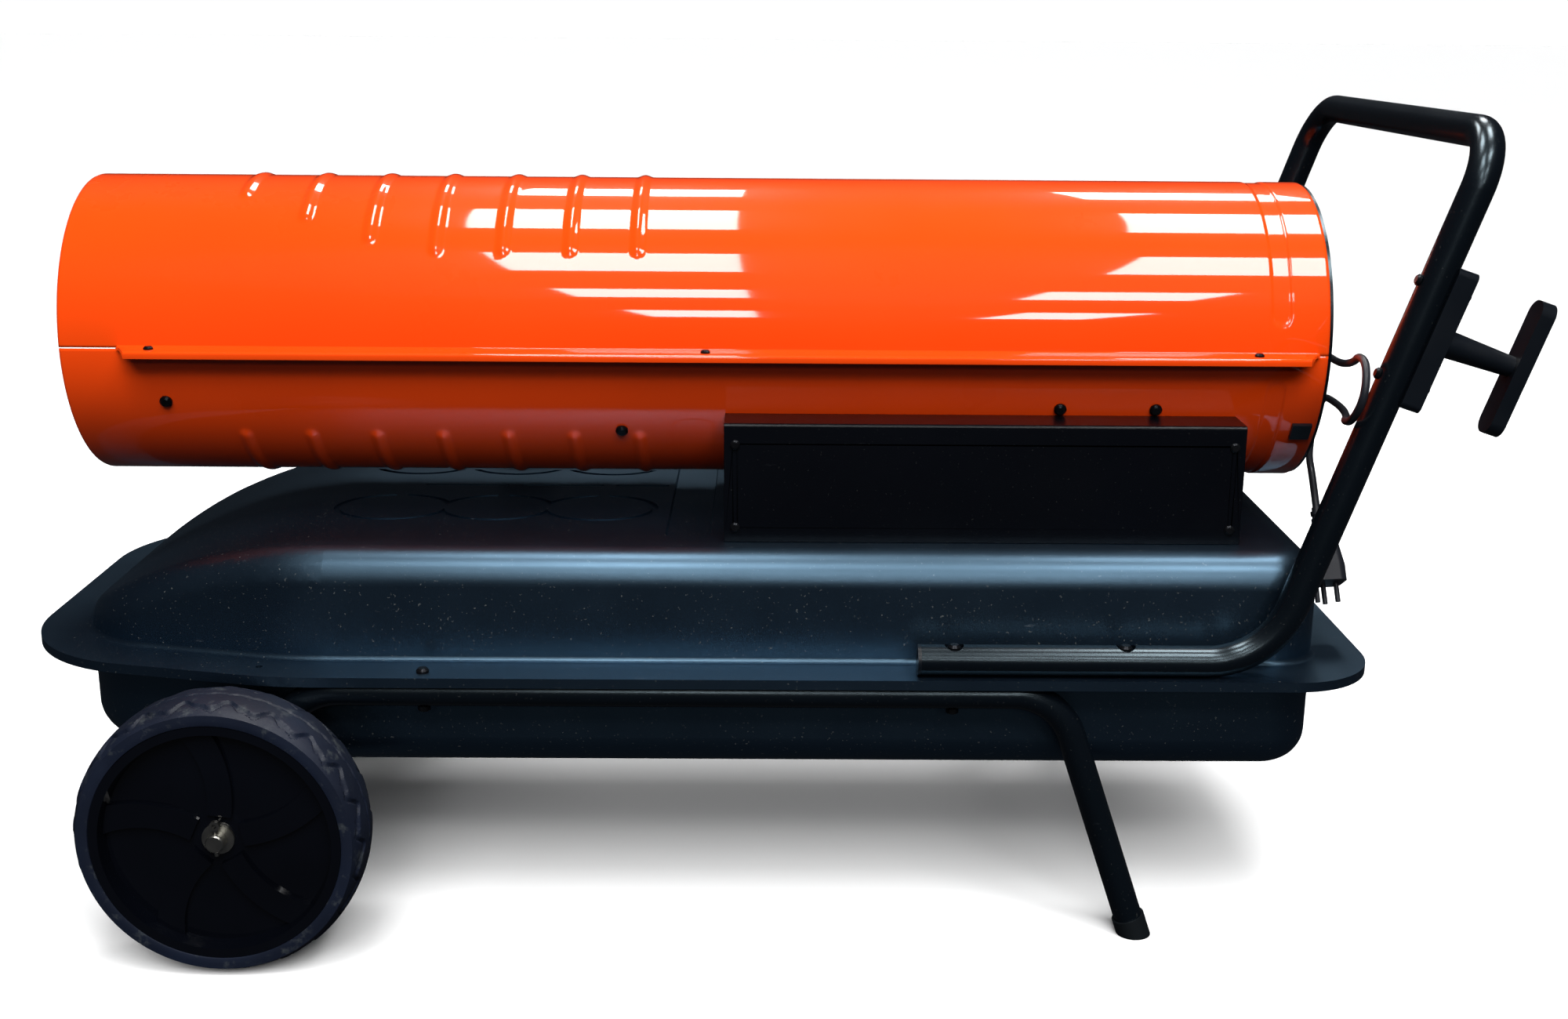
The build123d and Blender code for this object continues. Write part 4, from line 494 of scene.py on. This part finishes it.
# ---------------------------------------------------------------- tyres
TYRE_R = AXLE_Z
SIDEWALL = (                # radius, and distance from the wheel's plane
    (102.0, -29.0), (104.5, -29.2), (107.0, -29.6), (108.0, -31.0), (108.6, -32.6),
    (110.0, -33.0), (114.0, -33.0), (118.2, -32.8),
)
TREAD_LEAST_R = 118.5       # the grooves are in what lies further out
TREAD_HALF = 32.2
TREAD_STEP = 1.15
CROWN_HALF = 24.0
CROWN_RISE = 2.4
SHOULDER_Y = 22.0
SHOULDER_DROP = 4.2
SHOULDER_CURVE = 1.6
WAVES = 21
RINGS = WAVES * 26
WAVE_Y = 21.5               # of each wavy groove's middle line
WAVE_SWING = 5.0
OVERTONE = 0.38
OVERTONE_PHASE = 0.6
SECOND_WAVE_PHASE = 1.3
WAVE_DEPTH = 2.2
WAVE_HALF = 0.5
WAVE_FLANK = 0.6
WAVE_WIDEN = 1.6            # scale of a wavy groove's width where the wave turns
WAVE_WIDEN_STEEP = 1.3      # what its steep stretches add to that
OUTSIDE_DROP = 0.9          # of the tread beyond a wavy groove
OUTSIDE_START = 0.4
OUTSIDE_FLANK = 1.5
LINE_DEPTH = 1.5            # of the groove in the tread's middle
LINE_SWING = 0.8
LINE_HALF = 0.8
LINE_FLANK = 1.0
TYRE_SHARP_DEG = 34.0


def tread_radius(y):
    """Radius of the tread before its grooves: a crown that falls off to the shoulders."""
    crown = CROWN_RISE * (1 - (y / CROWN_HALF) ** 2) if abs(y) < CROWN_HALF else 0.0
    past_shoulder = max(0.0, (abs(y) - SHOULDER_Y) / (TREAD_HALF - SHOULDER_Y))
    return TYRE_R - CROWN_RISE + crown - SHOULDER_DROP * past_shoulder ** SHOULDER_CURVE


def tread_depth(theta, y):
    """Depth of the grooves at an angle of the wheel: two wavy ones and one in the middle."""
    depth = 0.0
    for mirror, shift in ((1, 0.0), (-1, SECOND_WAVE_PHASE)):
        phase = WAVES * theta * mirror + shift
        wave = sin(phase) + OVERTONE * sin(2 * phase + OVERTONE_PHASE)
        outside = mirror * y - (WAVE_Y + WAVE_SWING * wave)
        gap = abs(outside) / (WAVE_WIDEN + WAVE_WIDEN_STEEP * abs(cos(phase)))
        depth = max(depth, WAVE_DEPTH * (1 - smooth_step((gap - WAVE_HALF) / WAVE_FLANK)))
        depth += OUTSIDE_DROP * smooth_step((outside - OUTSIDE_START) / OUTSIDE_FLANK)
    gap = abs(y + LINE_SWING * sin(2 * WAVES * theta))
    return max(depth, LINE_DEPTH * (1 - smooth_step((gap - LINE_HALF) / LINE_FLANK)))


def add_tyre(side, word):
    """Cross-section carried round the wheel, with the grooves pressed in."""
    section = list(SIDEWALL)
    section += [(tread_radius(y), y) for y in steps(-TREAD_HALF, TREAD_HALF, TREAD_STEP)]
    section += [(r, -y) for r, y in reversed(SIDEWALL)]
    verts = []
    for ring in range(RINGS):
        theta = 2 * pi * ring / RINGS
        for plain_r, y in section:
            r = plain_r - (tread_depth(theta, y) if plain_r > TREAD_LEAST_R else 0.0)
            x, z = r * cos(theta), r * sin(theta)
            verts.append((at(0) + x, side * (WHEEL_Y + y), AXLE_Z + z))
    faces = grid_faces(RINGS, len(section), wrap=True)
    for ring in range(RINGS):
        here, beside = ring * len(section), (ring + 1) % RINGS * len(section)
        last = len(section) - 1
        faces.append((here, here + last, beside + last, beside))
    obj = mesh_object(f"tyre_tread_{word}", verts, faces, "tyre", f"wheel_{word}_turning")
    surface = bmesh.new()
    surface.from_mesh(obj.data)
    bmesh.ops.recalc_face_normals(surface, faces=surface.faces)
    surface.to_mesh(obj.data)
    surface.free()
    obj.data.set_sharp_from_angle(angle=radians(TYRE_SHARP_DEG))
    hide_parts(f"tyre_{word}")


add_tyre(-1, "near")
add_tyre(1, "far")


# ---------------------------------------------------------------- mains cord
CORD_D = 7.0
ROUTE = (                   # control points of the lead, from the gland to the plug
    (934, 60, 370), (972, 60, 370), (1010, 75, 383), (1012, 80, 440), (1022, 40, 500),
    (1022, -10, 498), (1010, -90, 505), (990, -185, 524), (978, -234, 539), (976, -262, 537),
    (972, -277, 512), (968, -262, 487), (974, -222, 479), (1000, -150, 467), (1020, -75, 459),
    (1028, -15, 455), (1030, 20, 452), (1027, 36, 427), (1021, 20, 402), (1008, -22, 398),
    (993.5, -82, 398), (995, -100, 368),
)
curve = bpy.data.curves.new("mains_cord_line", "CURVE")
curve.dimensions = "3D"
curve.bevel_depth = CORD_D / 2 * MM
curve.bevel_resolution = 5
curve.use_fill_caps = True
spline = curve.splines.new("NURBS")
spline.points.add(len(ROUTE) - 1)
for point, (x, y, z) in zip(spline.points, ROUTE):
    point.co = (at(x) * MM, y * MM, z * MM, 1)
spline.order_u = 3
spline.use_endpoint_u = True
spline.resolution_u = 12
curve.materials.append(materials["cord"])
cord = add_object("mains_lead", curve)
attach(cord, "heater")
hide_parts("mains_cord")


# ---------------------------------------------------------------- floor and backdrop, in metres
FLOOR_HALF = 80.0
FLOOR_Z = -0.0005           # just under the tyres
FLOOR_COLOR = (0.98, 0.98, 0.98)
BACKDROP_R = 85.0
BACKDROP_GLOW = 1.02


def add_floor():
    """White floor that neither lights the heater nor shows in its gloss."""
    mesh = bpy.data.meshes.new("floor")
    half, z = FLOOR_HALF, FLOOR_Z
    corners = [(-half, -half, z), (half, -half, z), (half, half, z), (-half, half, z)]
    mesh.from_pydata(corners, [], [(0, 1, 2, 3)])
    material, tree, shader = new_material("floor_finish")
    lighter = tuple(c * 1.01 for c in FLOOR_COLOR)
    color = ramp(tree, noise(tree, 0.6, 2.0), 0.2, 0.8, FLOOR_COLOR, lighter)
    tree.links.new(color, shader.inputs["Base Color"])
    shader.inputs["Roughness"].default_value = 0.9
    mesh.materials.append(material)
    floor = add_object("floor", mesh)
    floor.visible_glossy = False
    floor.visible_diffuse = False


def add_backdrop():
    """White sphere that only the camera sees, for views that look past the floor's edge."""
    mesh = bpy.data.meshes.new("backdrop")
    sphere = bmesh.new()
    bmesh.ops.create_uvsphere(sphere, u_segments=64, v_segments=32, radius=BACKDROP_R)
    sphere.to_mesh(mesh)
    sphere.free()
    material, tree, shader = new_material("backdrop_finish")
    paper = ramp(tree, noise(tree, 0.05, 2.0), 0.2, 0.8, (0.98, 0.98, 0.98), (1.0, 1.0, 1.0))
    tree.links.new(paper, shader.inputs["Emission Color"])
    shader.inputs["Emission Strength"].default_value = BACKDROP_GLOW
    shader.inputs["Base Color"].default_value = (0.0, 0.0, 0.0, 1)
    mesh.materials.append(material)
    backdrop = add_object("backdrop", mesh)
    backdrop.visible_glossy = False
    backdrop.visible_diffuse = False
    backdrop.visible_transmission = False
    backdrop.visible_shadow = False


add_floor()
add_backdrop()


# ---------------------------------------------------------------- light, in metres and watts
LAMP_Z = 2.6
LAMP_WIDTH = 0.54
LAMP_LENGTH = 0.75
LAMP_POWER = 17.0           # of a lamp of that length
LAMP_ROWS = (               # y of a row, length of its lamps, x of each lamp
    (1.8, LAMP_LENGTH, (-0.32, 1.0)),
    (0.2, LAMP_LENGTH, (-0.32, 1.0)),
    (-1.4, LAMP_LENGTH, (-0.32, 1.07)),
    (-3.25, LAMP_LENGTH, (-0.32, 1.06)),
    (-6.6, 1.9, (-0.32, 1.35)),
)
SUN_ANGLE_DEG = 50.0
SUNS = (                    # name, place and strength; the first comes from the photographer's side
    ("daylight", (0.4, -2.8, 3.3), 3.5),
    ("skylight", (-0.6, 3.0, 2.6), 1.1),
)
WORLD_COLOR = (0.018, 0.019, 0.022)


def add_light(name, kind, place, target, power):
    light = bpy.data.lights.new(name, kind)
    light.energy = power
    obj = add_object(name, light)
    obj.location = place
    direction = Vector(target) - Vector(place)
    obj.rotation_euler = direction.to_track_quat("-Z", "Y").to_euler()
    return obj


def add_ceiling_lamp(name, x, y, length):
    power = LAMP_POWER * length / LAMP_LENGTH
    lamp = add_light(name, "AREA", (x, y, LAMP_Z), (x, y, 0), power)
    lamp.data.shape = "RECTANGLE"
    lamp.data.size = LAMP_WIDTH
    lamp.data.size_y = length


def add_sun(name, place, power):
    """Broad soft light that doesn't show in reflections."""
    sun = add_light(name, "SUN", place, (0.0, 0.0, 0.0), power)
    sun.data.angle = radians(SUN_ANGLE_DEG)
    sun.visible_glossy = False


for row, (lamp_y, lamp_length, columns) in enumerate(LAMP_ROWS):
    for column, lamp_x in enumerate(columns):
        add_ceiling_lamp(f"ceiling_lamp_{column}_{row}", lamp_x, lamp_y, lamp_length)
for sun_name, sun_place, sun_power in SUNS:
    add_sun(sun_name, sun_place, sun_power)

world = bpy.data.worlds.new("studio")
bpy.context.scene.world = world
world.use_nodes = True
world.node_tree.nodes["Background"].inputs["Color"].default_value = (*WORLD_COLOR, 1)


# ---------------------------------------------------------------- camera, fitted to the photograph
SENSOR_MM = 36.0
FOCAL_PX = 2300.0
PHOTO_WIDTH_PX = 2000.0
CAMERA_X = 474.03           # station in millimetres
CAMERA_Y = -1754.21
CAMERA_Z = 811.75
CAMERA_PITCH = 0.264806     # radians
CAMERA_YAW = 0.00856
CAMERA_ROLL = 0.00818


def camera_axes(pitch, yaw, roll):
    """Right, up and forward of a camera that looks along +Y before it turns."""
    forward = Vector((sin(yaw) * cos(pitch), cos(yaw) * cos(pitch), -sin(pitch)))
    level = Vector((cos(yaw), -sin(yaw), 0.0))
    upright = level.cross(forward)
    right = level * cos(roll) + upright * sin(roll)
    up = upright * cos(roll) - level * sin(roll)
    return right, up, forward


camera_data = bpy.data.cameras.new("photo_camera")
camera_data.sensor_width = SENSOR_MM
camera_data.lens = SENSOR_MM * FOCAL_PX / PHOTO_WIDTH_PX
camera = add_object("photo_camera", camera_data)
right, up, forward = camera_axes(CAMERA_PITCH, CAMERA_YAW, CAMERA_ROLL)
turn = Matrix((right, up, -forward)).transposed().to_4x4()
place = Matrix.Translation((at(CAMERA_X) * MM, CAMERA_Y * MM, CAMERA_Z * MM))
camera.matrix_world = place @ turn
bpy.context.scene.camera = camera
bpy.context.scene.view_settings.view_transform = "Standard"
